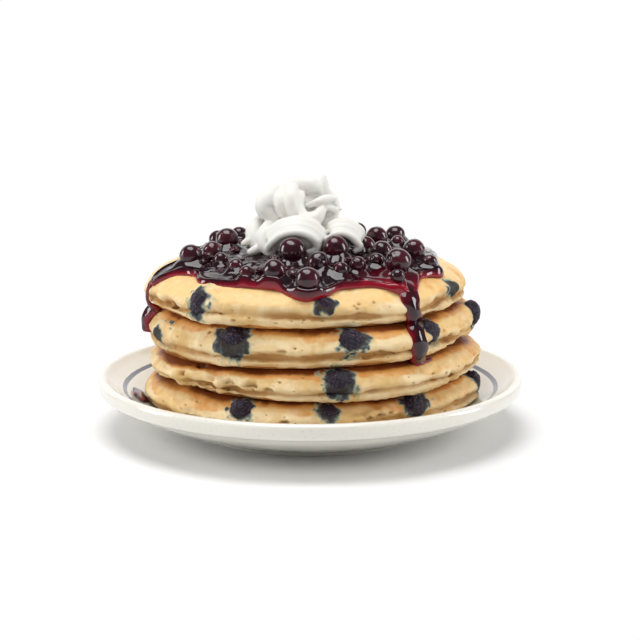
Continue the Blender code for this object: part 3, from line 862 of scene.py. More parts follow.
def pore_hollows(level, grid, turns, azimuth):
    """The pores' painted shade mask and their depth: each a flat-bottomed bell, e to the minus fourth power.
    """
    mask = np.zeros(grid.shape[:2])
    depth = np.zeros(grid.shape[:2])
    for place, level_at, radius, is_height in pore_marks(level):
        column = int(round((place % 360) / 360 * grid.shape[1])) % grid.shape[1]
        if is_height:
            apart = np.abs(grid[:, column, 2] - level_at)
            row = int(np.argmin(np.where(np.abs(turns[:, column]) < 80, apart, 1.0)))
        else:
            row = int(np.argmin(np.abs(turns[:, column] - level_at)))
        reach = math.degrees(4 * radius / MEAN_RADIUS)
        near = (np.abs((azimuth - place + 180) % 360 - 180) < reach).nonzero()[0]
        patch = grid[:, near]
        away = np.linalg.norm((patch - grid[row, column]) * [1, 1, 1.4], axis=-1) / radius
        away = away * (1 + 0.25 * soft_noise(patch, 1.3 * MM, 41))
        hollow = np.exp(-(away**4))
        mask[:, near] = np.maximum(mask[:, near], hollow)
        depth[:, near] = np.maximum(depth[:, near], hollow * radius * 1.4)
    return mask, depth


def fruit_reach(points, centre, half):
    """Distance from a baked berry's centre in berry sizes, with a ragged wander."""
    wide = max(half[0], half[1])
    offset = points - centre
    away = np.sqrt((np.hypot(offset[..., 0], offset[..., 1]) / wide) ** 2 + (offset[..., 2] / half[2]) ** 2)
    return away * (1 + 0.30 * layered_noise(points, 3.2 * MM, 61, 3))


def fruit_near(level):
    """The baked berries and stains that touch this pancake, as (centre, half sizes)."""
    low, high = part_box(f"pancake_{level + 1}")
    fruit = [node_box(name) for name in nodes_named("baked_berry")]
    near = [(centre, half) for centre, half in fruit if low.z - 2 * MM < centre[2] < high.z + 2 * MM]
    for which, place, height, half in STAINS:
        if which == level:
            reach = float(outline(level, np.array([place]))[0]) - 1 * MM
            near.append((reach * heading(place) + [0, 0, height], np.array([half] * 3)))
    return near


def tucked(grid, level, turns, azimuth):
    """The grid with its underside pulled in and lifted where the tucks are, and its hem a little wavy."""
    reach = np.hypot(grid[..., 0], grid[..., 1])
    tuck = smooth_step(5, -70, turns) * bells(TUCKS, level, azimuth) * smooth_step(20 * MM, 60 * MM, reach)
    grid = grid - heading(azimuth) * tuck[..., None]
    wave = soft_noise(grid * [1, 1, 0] + level, 10 * MM, 55)
    hem = bells(TUCKS, level, azimuth, 1) + 0.45 * MM * (1 + wave)
    grid[..., 2] += smooth_step(-15, -85, turns) * np.where(turns > -90, 1.0, 0.0) * hem
    return grid


def side_lumps(grid, level, turns, azimuth, crease, lump_height):
    """The height of the lumps: broad and middling ones everywhere, fine ones low down and in the crease."""
    lumps = lump_height * layered_noise(grid, 8 * MM, 31 + level)
    lumps += 0.9 * MM * soft_noise(grid * [1, 1, 1.6], 22 * MM, 71 + level)
    lumps += 0.16 * MM * layered_noise(grid, 2.2 * MM, 91 + level, 2) * smooth_step(60, 30, turns)
    lumps += 0.4 * MM * crease * soft_noise(grid, 2.6 * MM, 21 + level)
    rough = soft_noise(grid, 7 * MM, 77) + 0.5 * soft_noise(grid, 3 * MM, 78)
    return lumps + bells(LUMPY, level, azimuth) * smooth_step(55, 20, turns) * rough


def fruit_marks(grid, near):
    """How much the batter swells round each fruit, and how strongly it is stained."""
    swell = np.zeros(grid.shape[:2])
    stain = np.zeros(grid.shape[:2])
    for centre, half in near:
        away = fruit_reach(grid, centre, half)
        swell = np.maximum(swell, 0.8 * MM * np.exp(-(((away - 0.9) / 0.5) ** 2)))
        stain = np.maximum(stain, 1 - smooth_step(0.72, 1.55, away))
    return swell, stain


def browning(grid, level, turns, azimuth):
    """Where the side is browned, and how deeply, with painted shade darkest where the pancake above lies
    closest.
    """
    stop, deepness = BROWNING[level]
    bare = 16 * bell(azimuth, -35, 26) + 20 * bell(azimuth, -142, 16) * (level == 0)
    stop = stop - bare * (level < TOP)
    stop = stop + 7 * soft_noise(grid * [1, 1, 0] + level, 16 * MM, 15)
    stop = stop + 4 * soft_noise(grid, 5 * MM, 16)
    beneath = smooth_step(-58, -76, turns)
    crust = np.maximum(smooth_step(stop - 12, stop + 12, turns), 0.9 * beneath)
    # On the top pancake this browns its face a little more; below it, this is painted shade, darkest where
    # the pancake above lies closest.
    top_browning_and_seam_shade = 0.25 * smooth_step(60, 90, turns)
    if level < TOP:
        gap = contact(level + 1, grid[..., 0], grid[..., 1]) - grid[..., 2]
        top_browning_and_seam_shade = smooth_step(3.8 * MM, 0.8 * MM, gap) * (turns > 0)
    toast_and_seam_shade = deepness * (0.20 + 0.80 * top_browning_and_seam_shade**1.2)
    toast_and_seam_shade = toast_and_seam_shade + 0.24 * layered_noise(grid, 20 * MM, 19 + level)
    return crust, np.maximum(toast_and_seam_shade, 0.7 * beneath)


class BuildPancakes(bpy.types.Operator):
    """Shapes each pancake with its browned faces, creased side, pores and fruit stains"""

    bl_idname = "pancakes.pancakes"
    bl_label = "Pancakes"

    def execute(self, context):
        settings = context.scene.stack_pancakes
        material = batter_material(settings)
        for level in range(len(PANCAKES)):
            grid, turns, crease, azimuth = pancake_grid(level)
            grid = tucked(grid, level, turns, azimuth)
            normals = grid_normals(grid)
            on_side = smooth_step(90, 62, np.abs(turns))
            lumps = side_lumps(grid, level, turns, azimuth, crease, settings.lump_height)
            pore_shade_mask, depth = pore_hollows(level, grid, turns, azimuth)
            swell, stain = fruit_marks(grid, fruit_near(level))
            crust, toast_and_seam_shade = browning(grid, level, turns, azimuth)
            grid = grid + normals * ((lumps + swell) * on_side - depth)[..., None]
            floor = contact(level, grid[..., 0], grid[..., 1]) + 0.1 * MM
            grid[..., 2] = np.maximum(grid[..., 2], floor)
            # The crease mask paints shade into the crease, less where the side is browned.
            crease = crease * on_side * (1 - crust)
            values = {"crust": crust, "toast_and_seam_shade": np.clip(toast_and_seam_shade, 0, 1), "crease": np.clip(crease, 0, 1)}
            values |= {"stain": stain, "pore_shading": pore_shade_mask}
            mesh = closed_surface(f"browned_pancake_{level + 1}", grid, values)
            place_piece(mesh, material, "pancake", f"pancake_{level + 1}")
        return {"FINISHED"}


# ---------------------------------------------------------------- fruit


def ball_grid(columns, rows):
    """Unit directions over a ball, from one pole to the other."""
    azimuth = np.arange(columns) * 2 * np.pi / columns
    polar = np.linspace(0, np.pi, rows)[:, None]
    x, y = np.sin(polar) * np.cos(azimuth), np.sin(polar) * np.sin(azimuth)
    return np.stack([x, y, np.cos(polar) + 0 * azimuth], axis=-1)


def turned(points, pole):
    """Points turned so that +Z goes to `pole`, by the shortest way."""
    pole = np.array(pole, float) / np.linalg.norm(pole)
    side = np.cross([0.3, 1.0, 0.1], pole)
    side /= np.linalg.norm(side)
    return points @ np.stack([side, np.cross(pole, side), pole])


class BuildBakedBerries(bpy.types.Operator):
    """Shapes the fruit that shows in the pancakes' sides, wrinkled and burst by baking"""

    bl_idname = "pancakes.baked_berries"
    bl_label = "Baked berries"

    def execute(self, context):
        material = baked_berry_material(context.scene.stack_baked)
        ball = ball_grid(96, 60)
        for index, name in enumerate(nodes_named("baked_berry")):
            centre, half = node_box(name)
            angle = math.atan2(centre[1], centre[0])
            reach = float(np.dot(half[:2], np.abs([math.cos(angle), math.sin(angle)])))
            wide = max(half[0], half[1])
            out = np.array([math.cos(angle), math.sin(angle), 0.0])
            across = np.array([-math.sin(angle), math.cos(angle), 0.0])
            size = 1 + 0.11 * layered_noise(ball, 0.8, 200 + index)
            size = size + 0.035 * layered_noise(ball, 0.25, 300 + index)
            warped = ball + 0.3 * layered_noise(ball, 0.7, index)[..., None]
            folds = np.abs(soft_noise(warped, 0.34, 350 + index))
            size -= 0.09 * np.exp(-((folds / 0.12) ** 2))
            depth = min(reach, half[2]) * 0.86
            shaped = ball * size[..., None]
            grid = centre + shaped[..., :1] * depth * out + shaped[..., 1:2] * wide * across
            grid = grid + shaped[..., 2:] * half[2] * np.array([0, 0, 1.0])
            mesh = closed_surface(name.replace("baked_berry", "baked_fruit"), grid)
            place_piece(mesh, material, "baked_berry", name)
        return {"FINISHED"}


# How many places are tried for torn skins; those that meet a berry or the cream are left out.
SKIN_TRIES = 130

# Berries whose crown faces a given way.
FACING_CROWNS = {"berry_06": (0.45, -1.0, 0.55), "berry_13": (-0.9, -0.6, 0.4), "berry_02": (0.7, 0.2, 0.9)}


class BuildBerries(bpy.types.Operator):
    """Shapes the whole cooked berries, each with its crown at one end, and the torn skins between them"""

    bl_idname = "pancakes.berries"
    bl_label = "Berries"

    def execute(self, context):
        material = berry_material(context.scene.stack_berries)
        ball = ball_grid(96, 60)
        azimuth = np.arctan2(ball[..., 1], ball[..., 0])
        polar = np.arccos(np.clip(ball[..., 2], -1, 1))
        dice = np.random.default_rng(12)
        for index, name in enumerate(nodes_named("berry_")):
            centre, half = node_box(name)
            radius = float(half.mean())
            lobes = 0.5 + 0.5 * np.abs(np.cos(2.5 * azimuth + index)) ** 0.6
            crown_rim = np.exp(-(((polar - 0.36) / 0.085) ** 2)) * lobes
            crown_dip = np.exp(-((polar / 0.29) ** 4))
            dent = 0.030 * layered_noise(ball, 0.9, 400 + index, 2)
            crease = np.abs(soft_noise(ball + index, 0.9, 500 + index))
            where = smooth_step(0.0, 0.5, soft_noise(ball, 0.8, 600 + index))
            dent -= 0.022 * np.exp(-((crease / 0.07) ** 2)) * where
            size = 1 + dent + 0.05 * crown_rim - 0.17 * crown_dip
            pole = FACING_CROWNS.get(name, (dice.normal(), dice.normal() + 0.5, dice.normal() * 0.6 - 0.3))
            grid = centre + turned(ball * size[..., None], pole) * radius * 1.02
            mesh = closed_surface(name.replace("berry", "cooked_berry"), grid, {"crown": crown_dip})
            place_piece(mesh, material, "berry", name)
        place_piece(self.skins(), material, "berry")
        return {"FINISHED"}

    def skins(self):
        """Torn skins and burst berries lying in the syrup: small balls pressed and folded by ridged noise."""
        dice = np.random.default_rng(33)
        ball = ball_grid(44, 28)
        taken = [node_box(name) for name in nodes_named("berry_")]
        cream_low, cream_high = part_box("whipped_cream")
        cream_middle = (np.array(cream_low) + np.array(cream_high)) / 2
        grids = []
        for index in range(SKIN_TRIES):
            azimuth, reach = dice.uniform(0, 2 * np.pi), 60 * MM * math.sqrt(dice.uniform(0.05, 1))
            radius = dice.uniform(2.0, 3.8) * MM
            flat = dice.uniform(0.55, 0.85)
            pole = dice.normal(size=3)
            x, y = reach * math.cos(azimuth), reach * math.sin(azimuth)
            if math.hypot(x - cream_middle[0], y - cream_middle[1]) < 25 * MM:
                continue
            if any(math.hypot(x - c[0], y - c[1]) < h[0] * 0.72 + radius * 0.8 for c, h in taken):
                continue
            if THIN_FROM < math.degrees(azimuth) % 360 - 360 < THIN_TO and reach > 50 * MM:
                continue
            taken.append((np.array([x, y, 0]), np.array([radius * 1.25] * 3)))
            ridges = np.abs(soft_noise(ball + index, 0.42, 700 + index))
            size = 1 + 0.14 * layered_noise(ball + index, 0.9, 800 + index, 2)
            size = size - 0.16 * np.exp(-((ridges / 0.16) ** 2))
            place = np.array([x, y, float(syrup_level(np.array([[x]]), np.array([[y]]))[0, 0])])
            body = turned(ball * size[..., None], pole) * radius * [1, 1, flat]
            grids.append(place + [0, 0, -radius * 0.10] + body)
        values = [{"crown": 0 * grid[..., 0]} for grid in grids]
        return joined_surfaces("berry_skins", grids, values)


# ---------------------------------------------------------------- compote

# The front right stretch where the syrup is thin, in degrees of azimuth.
THIN_FROM, THIN_TO = -80, -32
BEAD_WIDTH = 2.4 * MM
# The right drip's foot and the splash: where they lie, and their sizes.
FOOT_AZIMUTH, FOOT_TURN = -48.6, 66
FOOT_THICKNESS = 1.9 * MM
SPLASH_AZIMUTH, SPLASH_MIDDLE = 189.5, 84.5 * MM
SPLASH_LENGTH, SPLASH_WIDTH, SPLASH_THICKNESS = 9.5 * MM, 4.2 * MM, 1.5 * MM


def pool_radius(azimuth):
    """The compote's reach by azimuth: the base radius, its lobes, and a small ripple."""
    ripple = 0.6 * MM * np.sin(np.radians(azimuth * 11 + 40))
    ripple = ripple + 0.4 * MM * np.sin(np.radians(azimuth * 23))
    lobes = sum(reach * bell(azimuth, centre, width) for reach, centre, width in POOL_LOBES[1:])
    front_reach, front_centre, front_width = POOL_LOBES[0]
    away = (azimuth - front_centre + 180) % 360 - 180
    front = 0.72 * front_reach * np.exp(-((away / (1.15 * front_width)) ** 4))
    return POOL_RADIUS + ripple + lobes + front


def thin_share(x, y):
    """1 in the thin front right stretch of the syrup, falling to 0 round it."""
    azimuth = np.degrees(np.arctan2(y, x))
    return bell(azimuth, (THIN_FROM + THIN_TO) / 2, 17) * smooth_step(44 * MM, 58 * MM, np.hypot(x, y))


def syrup_level(x, y):
    """The syrup's free surface: the crown, its heaped thickness, soft lumps, and a mound round each berry."""
    reach = np.hypot(x, y)
    heap = np.clip(1 - (reach / POOL_HEAP_RADIUS) ** 2, 0, None)
    thickness = POOL_RIM_THICKNESS + (POOL_THICKNESS - POOL_RIM_THICKNESS) * heap
    flat = np.stack([x, y, 0 * x], axis=-1)
    calm = thin_share(x, y)
    lumps = 0.9 * MM * layered_noise(flat, 7 * MM, 3, 2) + 0.35 * MM * soft_noise(flat, 2.6 * MM, 4)
    lumps = (lumps + 0.3 * MM) * smooth_step(POOL_RADIUS, POOL_RADIUS - 14 * MM, reach) * (1 - 0.85 * calm)
    mound = 0 * x
    for name in nodes_named("berry_"):
        centre, half = node_box(name)
        away = np.hypot(x - centre[0], y - centre[1]) / half.mean()
        mound = mound + 0.80 * half.mean() * np.exp(-((np.clip(away - 0.7, 0, None) / 0.60) ** 2))
    mound = 4.4 * MM * np.tanh(mound / (4.4 * MM))
    return crown_height(x, y) + GAP + thickness * (1 - 0.45 * calm) + lumps + mound * (1 - 0.3 * calm)


def rounded_rows(flat, rounded, start):
    """Shares of a radius from 0 to 1: even steps up to `start`, then sine steps that close up at the edge."""
    edge = start + (1 - start) * np.sin(np.linspace(0, np.pi / 2, rounded))[1:]
    return np.concatenate([np.linspace(0, start, flat), edge])


class BuildCompote(bpy.types.Operator):
    """Pours the compote over the top pancake, with its drips down the stack and its splash on the plate"""

    bl_idname = "pancakes.compote"
    bl_label = "Compote"

    def execute(self, context):
        material = syrup_material(context.scene.stack_compote)
        place_piece(self.pool(), material, "compote", "compote")
        for name, stations, widths, thick in DRIPS:
            place_piece(drip_mesh(name, stations, widths, thick), material, "compote")
        place_piece(self.puddle(), material, "compote")
        place_piece(self.splash(), material, "compote")
        return {"FINISHED"}

    def pool(self):
        """The pool: the syrup's level over the crown, ending in a rounded bead with a trough behind it."""
        columns = 840
        azimuth = np.arange(columns) * 360 / columns
        reach = pool_radius(azimuth)
        share = rounded_rows(98, 14, 0.95)
        radius = reach * share[:, None]
        x, y = radius * np.cos(np.radians(azimuth)), radius * np.sin(np.radians(azimuth))
        ground = np.stack([x, y, crown_height(x, y)], axis=-1)
        steps = np.linalg.norm(np.diff(ground, axis=0), axis=-1)
        inside = np.concatenate([np.cumsum(steps[::-1], axis=0)[::-1], 0 * steps[:1]])
        rounding = np.sqrt(np.clip(1 - (1 - np.clip(inside / BEAD_WIDTH, 0, 1)) ** 2, 0, 1))
        thin = thin_share(x, y)
        thickness = syrup_level(x, y) - ground[..., 2]
        bead = 0.5 * MM * np.exp(-(((inside - 2.2 * MM) / (1.5 * MM)) ** 2))
        trough = 0.45 * MM * np.exp(-(((inside - 6.0 * MM) / (2.2 * MM)) ** 2))
        normals = grid_normals(ground)
        normals[0] = (0, 0, 1)
        top = ground + normals * (np.maximum(thickness + bead - trough, 0.6 * MM) * rounding)[..., None]
        back = np.linspace(0.995, 0, 6)[:, None]
        x2, y2 = reach * back * np.cos(np.radians(azimuth)), reach * back * np.sin(np.radians(azimuth))
        bottom = np.stack([x2, y2, crown_height(x2, y2) - 0.4 * MM], axis=-1)
        wide = 1.5 * MM + 1.9 * MM * thin
        depth = smooth_step(-0.3, 1.0, inside / wide) * 0.65 + smooth_step(0.5, 2.6, inside / wide) * 0.5
        depth = depth * (1 - 0.62 * thin) + 0.05 * soft_noise(top, 5 * MM, 8)
        values = {"depth": np.clip(np.concatenate([depth, 0.1 + 0 * x2]), 0, 1.2)}
        return closed_surface("compote_pool", np.concatenate([top, bottom]), values)

    def puddle(self):
        """The right drip's foot: a flat drop on a browned shoulder, round in azimuth and turn."""
        around = np.arange(96) * 2 * np.pi / 96
        share = rounded_rows(12, 12, 0.8)[:, None]
        wavy = share * (1 + 0.16 * np.cos(3 * around + 1.0))
        azimuth = FOOT_AZIMUTH + 5.2 * wavy * np.cos(around)
        turn = FOOT_TURN + 17 * wavy * np.sin(around)
        ground = side_point(1, azimuth, turn, crease_share=0.0)
        normal = -grid_normals(ground)
        normal *= np.sign(normal[..., 2:])
        normal[0] = normal[1].mean(axis=0)
        top = ground + normal * (0.3 * MM + FOOT_THICKNESS * np.sqrt(1 - share**2))[..., None]
        bottom = ground[-2::-4] - normal[-2::-4] * 0.4 * MM
        grid = np.concatenate([top, bottom])[:, ::-1]
        depth = np.concatenate([0.25 + 0.6 * (1 - share**3) + 0 * wavy, 0.2 + 0 * bottom[..., 0]])[:, ::-1]
        return closed_surface("drip_puddle", grid, {"depth": depth})

    def splash(self):
        """A flat drop on the plate's rim slope beside the lowest pancake: a rounded patch on the glaze."""
        around = np.arange(96) * 2 * np.pi / 96
        share = rounded_rows(12, 12, 0.8)[:, None]
        outline_share = 1 + 0.18 * np.cos(2 * around + 0.5) + 0.08 * np.cos(5 * around)
        along = SPLASH_LENGTH * share * np.cos(around) * outline_share
        across = SPLASH_WIDTH * share * np.sin(around) * outline_share
        azimuth = math.radians(SPLASH_AZIMUTH)
        x = (SPLASH_MIDDLE + across) * math.cos(azimuth) - along * math.sin(azimuth)
        y = (SPLASH_MIDDLE + across) * math.sin(azimuth) + along * math.cos(azimuth)
        ground = plate_top(np.hypot(x, y))
        top = np.stack([x, y, ground + 0.1 * MM + SPLASH_THICKNESS * np.sqrt(1 - share**2)], axis=-1)
        x2, y2 = x[-2::-4], y[-2::-4]
        bottom = np.stack([x2, y2, plate_top(np.hypot(x2, y2)) - 0.3 * MM], axis=-1)
        grid = np.concatenate([top, bottom])[:, ::-1]
        return closed_surface("plate_splash", grid, {"depth": 0.45 + 0 * grid[..., 0]})


# Each drip's stations are (pancake, turn on its side, azimuth), with a width and a thickness in mm for each.
DRIPS = (
    (
        "drip_right",
        (
            (3, 74, -47),
            (3, 60, -49),
            (3, 46, -50),
            (3, 20, -51),
            (3, -8, -51),
            (3, -34, -50.6),
            (3, -58, -50),
            (2, 66, -50.5),
            (2, 42, -51.8),
            (2, 14, -52.5),
            (2, -14, -52.5),
            (2, -42, -52),
            (2, -62, -50.5),
            (1, 74, -48.5),
            (1, 62, -48.5),
            (1, 50, -48.8),
        ),
        (12.0, 13.0, 11.5, 9.6, 9.0, 8.8, 8.4, 8.6, 9.0, 9.2, 9.0, 8.6, 8.8, 11.5, 13.5, 12.5),
        (1.2, 1.6, 1.9, 2.1, 2.2, 2.1, 2.2, 2.4, 2.4, 2.3, 2.2, 2.2, 2.2, 2.2, 2.0, 1.5),
    ),
    (
        "drip_left",
        (
            (3, 70, 199),
            (3, 50, 198.5),
            (3, 25, 198),
            (3, 5, 197.5),
            (3, -25, 197),
            (3, -55, 196),
            (2, 60, 193),
            (2, 40, 191),
            (2, 20, 190),
            (2, 0, 189.5),
            (2, -16, 189),
        ),
        (9.0, 5.0, 3.8, 3.0, 2.8, 3.4, 6.5, 8.0, 7.0, 4.6, 4.4),
        (0.7, 1.1, 1.2, 1.1, 1.0, 1.8, 3.2, 4.2, 4.2, 3.6, 3.8),
    ),
)


def smoothed(values, window):
    """A running weighted mean along the first axis, with the ends held."""
    pad = len(window) // 2
    padded = np.pad(values, [(pad, pad)] + [(0, 0)] * (values.ndim - 1), mode="edge")
    return sum(weight * padded[i : i + len(values)] for i, weight in enumerate(window / window.sum()))


def drip_mesh(name, stations, widths, thicknesses):
    """A half-round bead carried down the stack's side, its width and thickness smoothed between stations."""
    keys = np.arange(len(stations))
    steps = np.linspace(0, len(stations) - 1, 220)
    last = len(stations) - 1
    end = np.sqrt(np.clip(1 - np.clip((steps - (last - 0.9)) / 0.9, 0, 1) ** 2, 0, 1))
    begin = np.sqrt(np.clip(1 - (1 - np.clip(steps / 0.8, 0, 1)) ** 2, 0, 1))
    window = np.hanning(21)
    width = np.maximum(smoothed(np.interp(steps, keys, widths) * MM, window) * end * begin, 1e-5)
    width = width * (1 + 0.10 * np.sin(steps * 2.7) + 0.05 * np.sin(steps * 6.1))
    thick = smoothed(np.interp(steps, keys, thicknesses) * MM, window)
    thick = np.maximum(thick * np.sqrt(end * begin), 1e-5)
    around = np.arange(64) * 2 * np.pi / 64
    across, rise = np.cos(around), np.sin(around)
    swing = 0.5 * np.sin(steps * 1.35 + 0.4) * np.clip(width / (9 * MM), 0.3, 1)
    lanes = []
    for level, turn, azimuth in stations:
        spot = azimuth + swing[:, None] + np.degrees(across / 2 / 0.078) * width[:, None]
        lanes.append(side_point(level, spot, turn + 0 * spot, crease_share=0.4))
    lanes = np.array(lanes)
    low = np.clip(np.floor(steps).astype(int), 0, last - 1)
    part = (steps - low)[:, None, None]
    rows = np.arange(len(steps))
    base = smoothed(lanes[low, rows] * (1 - part) + lanes[low + 1, rows] * part, window)
    middle = base.mean(axis=1)
    along = np.gradient(middle, axis=0)
    sideways = base[:, 0] - base[:, len(around) // 2]
    out = np.cross(sideways, along)
    out /= np.maximum(np.linalg.norm(out, axis=-1, keepdims=True), 1e-9)
    out *= np.sign((out * middle * [1, 1, 0]).sum(axis=-1, keepdims=True) + 1e-9)
    ridge = 1 + 0.08 * np.cos(3 * around + 0.6) + 0.10 * np.sin(steps * 3.3)[:, None] * np.cos(around)
    offset = np.where(rise > 0, np.abs(rise) ** 0.75 * ridge, 0.35 * rise)
    grid = base + out[:, None] * (offset * thick[:, None] + 0.45 * MM)[..., None]
    depth = 0.16 + 0.62 * np.clip(rise, 0, 1) ** 1.6 * np.clip(thick / (2.0 * MM), 0, 1.2)[:, None]
    middle_row = len(steps) // 2
    spot = grid[middle_row, 4]
    facing = np.cross(grid[middle_row, 5] - spot, grid[middle_row + 1, 4] - spot)
    if facing @ (spot - middle[middle_row]) > 0:
        grid, depth = grid[:, ::-1], depth[:, ::-1]
    return closed_surface(name, grid, {"depth": depth})


# ---------------------------------------------------------------- cream

# The cream's cores: (middle, half sizes), in mm.
CREAM_CORES = (
    ((-4.5, -4, 96), (25, 22, 9.5)),
    ((-6, -1, 108), (17.5, 13.5, 13)),
    ((0, -2, 115), (10, 8, 8)),
    ((8, -8, 108), (4.5, 4, 5)),
)

# Its folds: points on the fold's middle line and the fold's radius there, (x, y, z, radius) in mm.
CREAM_FOLDS = (
    # Upper turn: left lobe, the folds beside it, and the curl at the front.
    ((-15, -4, 118, 4.0), (-20, -8, 115, 5.6), (-21, -10, 110.5, 5.2), (-17, -12, 107, 2.6)),
    ((-11, -5, 120, 3.0), (-14, -12, 116, 3.4), (-13.5, -14, 111, 3.2), (-10, -14, 106, 1.6)),
    (
        (-7, -6, 121, 3.4), (-9, -13, 117, 4.0), (-8, -15.5, 111, 3.8),
        (-3, -15.5, 106.5, 3.0), (1, -14, 104.5, 1.4),
    ),
    (
        (-4, -12, 118, 1.8), (-4.6, -16, 112, 2.2), (-2.4, -17.8, 107.4, 3.6),
        (2, -17.6, 107, 4.0), (5.2, -16, 110.4, 2.6), (6, -13, 113, 1.2),
    ),
    # The rolled top and its pointed tip.
    (
        (-14, -3, 117.5, 3.0), (-8.5, -5, 121, 4.2), (-3, -6.5, 122, 4.8),
        (2, -7.5, 121, 4.4), (4.6, -7, 118.5, 1.8),
    ),
    ((3.6, -3, 114, 5.0), (5.6, -3.5, 118.5, 4.2), (6.4, -4, 122.3, 2.7), (6.8, -4, 126.0, 1.1)),
    ((4, 0, 119, 3.6), (8.2, -1, 115, 4.4), (10.5, -3, 111, 4.2), (10.5, -5, 107, 3.4)),
    # Ridges and the small curl on the right.
    ((-1.5, -13.5, 112.5, 1.2), (3, -15, 114.6, 1.9), (8, -12.5, 116, 2.2), (12.0, -7.5, 115.4, 1.5)),
    (
        (5, -14.5, 110.5, 1.4), (9, -13, 111.8, 1.7), (12.2, -9.5, 109.6, 1.9),
        (11, -10.5, 106.3, 1.8), (7, -12.5, 105, 1.3),
    ),
    ((8, -6, 111.5, 3.0), (12.5, -6, 110.8, 2.0), (15, -6, 110, 0.7)),
    # Back of the upper turn.
    ((-2, 3, 118, 3.6), (3, 10, 113, 4.6), (4, 12, 107, 4.2), (2, 12, 103, 2.6)),
    ((-8, 3, 119, 3.6), (-7, 11, 113, 4.8), (-7, 13, 107, 4.4), (-8, 12, 102, 2.6)),
    ((-14, 1, 118, 3.6), (-18, 7, 113, 4.8), (-18, 9, 107, 4.4), (-16, 8, 102, 2.6)),
    # Lower turn: the left folds and the two tongues under them.
    ((-23, -3, 104.5, 3.4), (-26.5, -8, 101, 4.3), (-26.5, -12, 96, 4.4), (-23, -15, 92, 3.4)),
    ((-18, -10, 105, 2.8), (-21.5, -16, 100, 3.6), (-21.5, -20, 95, 3.6), (-19, -22.5, 91.6, 2.8)),
    ((-23, -12, 97.5, 2.6), (-28.5, -13.5, 96, 2.4), (-32, -14, 94.4, 1.6)),
    ((-19, -17, 94, 2.6), (-25, -19, 92.6, 2.5), (-28.6, -20, 91.2, 1.8)),
    ((1.5, -16.5, 104.6, 1.8), (4, -20.5, 100.4, 1.9), (7.5, -24, 97.8, 1.5)),
    ((-9, -14, 104, 2.0), (-4, -17, 103.4, 2.4), (2, -16, 104.4, 1.8)),
    # The sloping faces between the lips and the upper turn.
    ((-12, -13, 101, 6.0), (-8, -18, 99, 6.0), (-3, -19, 97.5, 5.4)),
    ((4, -10, 100, 5.5), (12, -12, 99.5, 5.5), (17.5, -10, 99.5, 4.8), (21, -7, 98, 3.6)),
    ((8, -4, 99, 5.0), (16, -3, 100, 4.6), (20.6, -4, 99.6, 3.4), (22.4, -6, 95, 3.2)),
    # Back of the lower turn.
    ((12, 4, 101, 4.2), (17, 9, 97.5, 4.8), (18, 11, 92.6, 3.6)),
    ((4, 9, 102, 4.2), (6, 16, 98.5, 5.0), (7, 18, 93, 3.8)),
    ((-6, 10, 102, 4.2), (-6, 18, 98.5, 5.0), (-7, 20, 93, 3.8)),
    ((-15, 8, 102, 4.2), (-18, 14.5, 98.5, 5.0), (-19, 16, 93, 3.8)),
    ((-21, 3, 102, 4.2), (-27, 5, 98.5, 4.6), (-28, 6, 93, 3.8)),
)


# The lips arched over the two front berries, likewise; each has a hood of thicker folds behind it.
CREAM_LIPS = (
    (
        (-20.4, -23, 92.4, 1.9),
        (-18, -27, 97, 1.8),
        (-13, -29, 101, 1.7),
        (-6.3, -30, 102.4, 1.8),
        (-0.4, -29.5, 100.6, 2.0),
        (3.6, -28.5, 96.8, 2.1),
        (3.0, -28, 93.6, 2.0),
        (-0.6, -28.5, 92.8, 1.4),
    ),
    (
        (7.3, -25, 98.0, 1.3),
        (11.2, -25, 100.4, 1.4),
        (15, -24.4, 101, 1.6),
        (19, -23.4, 99.6, 1.8),
        (22, -22.4, 96.8, 2.0),
        (23.8, -22, 94, 2.0),
        (21.6, -22.6, 92.2, 1.4),
    ),
)
HOOD_STEPS = ((2.2, 0.5, 1.3), (4.8, 1.5, 1.9), (7.6, 2.6, 2.4))


def hood(lip, back, up, growth):
    """A lip's copy, this far behind and above it, and thicker."""
    return tuple((x, y + back, z + up, radius * growth) for x, y, z, radius in lip[1:-2])


def fold_grid(keys, columns=40, steps=14):
    """A round-ended tube along a Catmull-Rom line through (x, y, z, radius) points."""
    line = smooth_path(np.array(keys, float) * MM, steps)
    path, radius = line[:, :3], np.maximum(line[:, 3], 0.3 * MM)
    along = np.gradient(path, axis=0)
    along /= np.linalg.norm(along, axis=-1, keepdims=True)
    caps = np.sin(np.linspace(0, np.pi / 2, 7))[:-1]
    fade = np.cos(np.linspace(0, np.pi / 2, 7))[:-1]
    start = path[0] - along[0] * radius[0] * np.cos(np.arcsin(caps))[:, None]
    finish = path[-1] + along[-1] * radius[-1] * np.cos(np.arcsin(caps[::-1]))[:, None]
    path = np.concatenate([start, path, finish])
    radius = np.concatenate([radius[0] * caps, radius, radius[-1] * caps[::-1]])
    along = np.concatenate([np.repeat(along[:1], len(fade), 0), along, np.repeat(along[-1:], len(fade), 0)])
    side = np.cross(along, [0.31, 0.17, 0.94])
    side /= np.linalg.norm(side, axis=-1, keepdims=True)
    up = np.cross(side, along)
    angle = np.arange(columns) * 2 * np.pi / columns
    ring = np.cos(angle)[None, :, None] * side[:, None] + np.sin(angle)[None, :, None] * up[:, None]
    return path[:, None] + ring * radius[:, None, None]


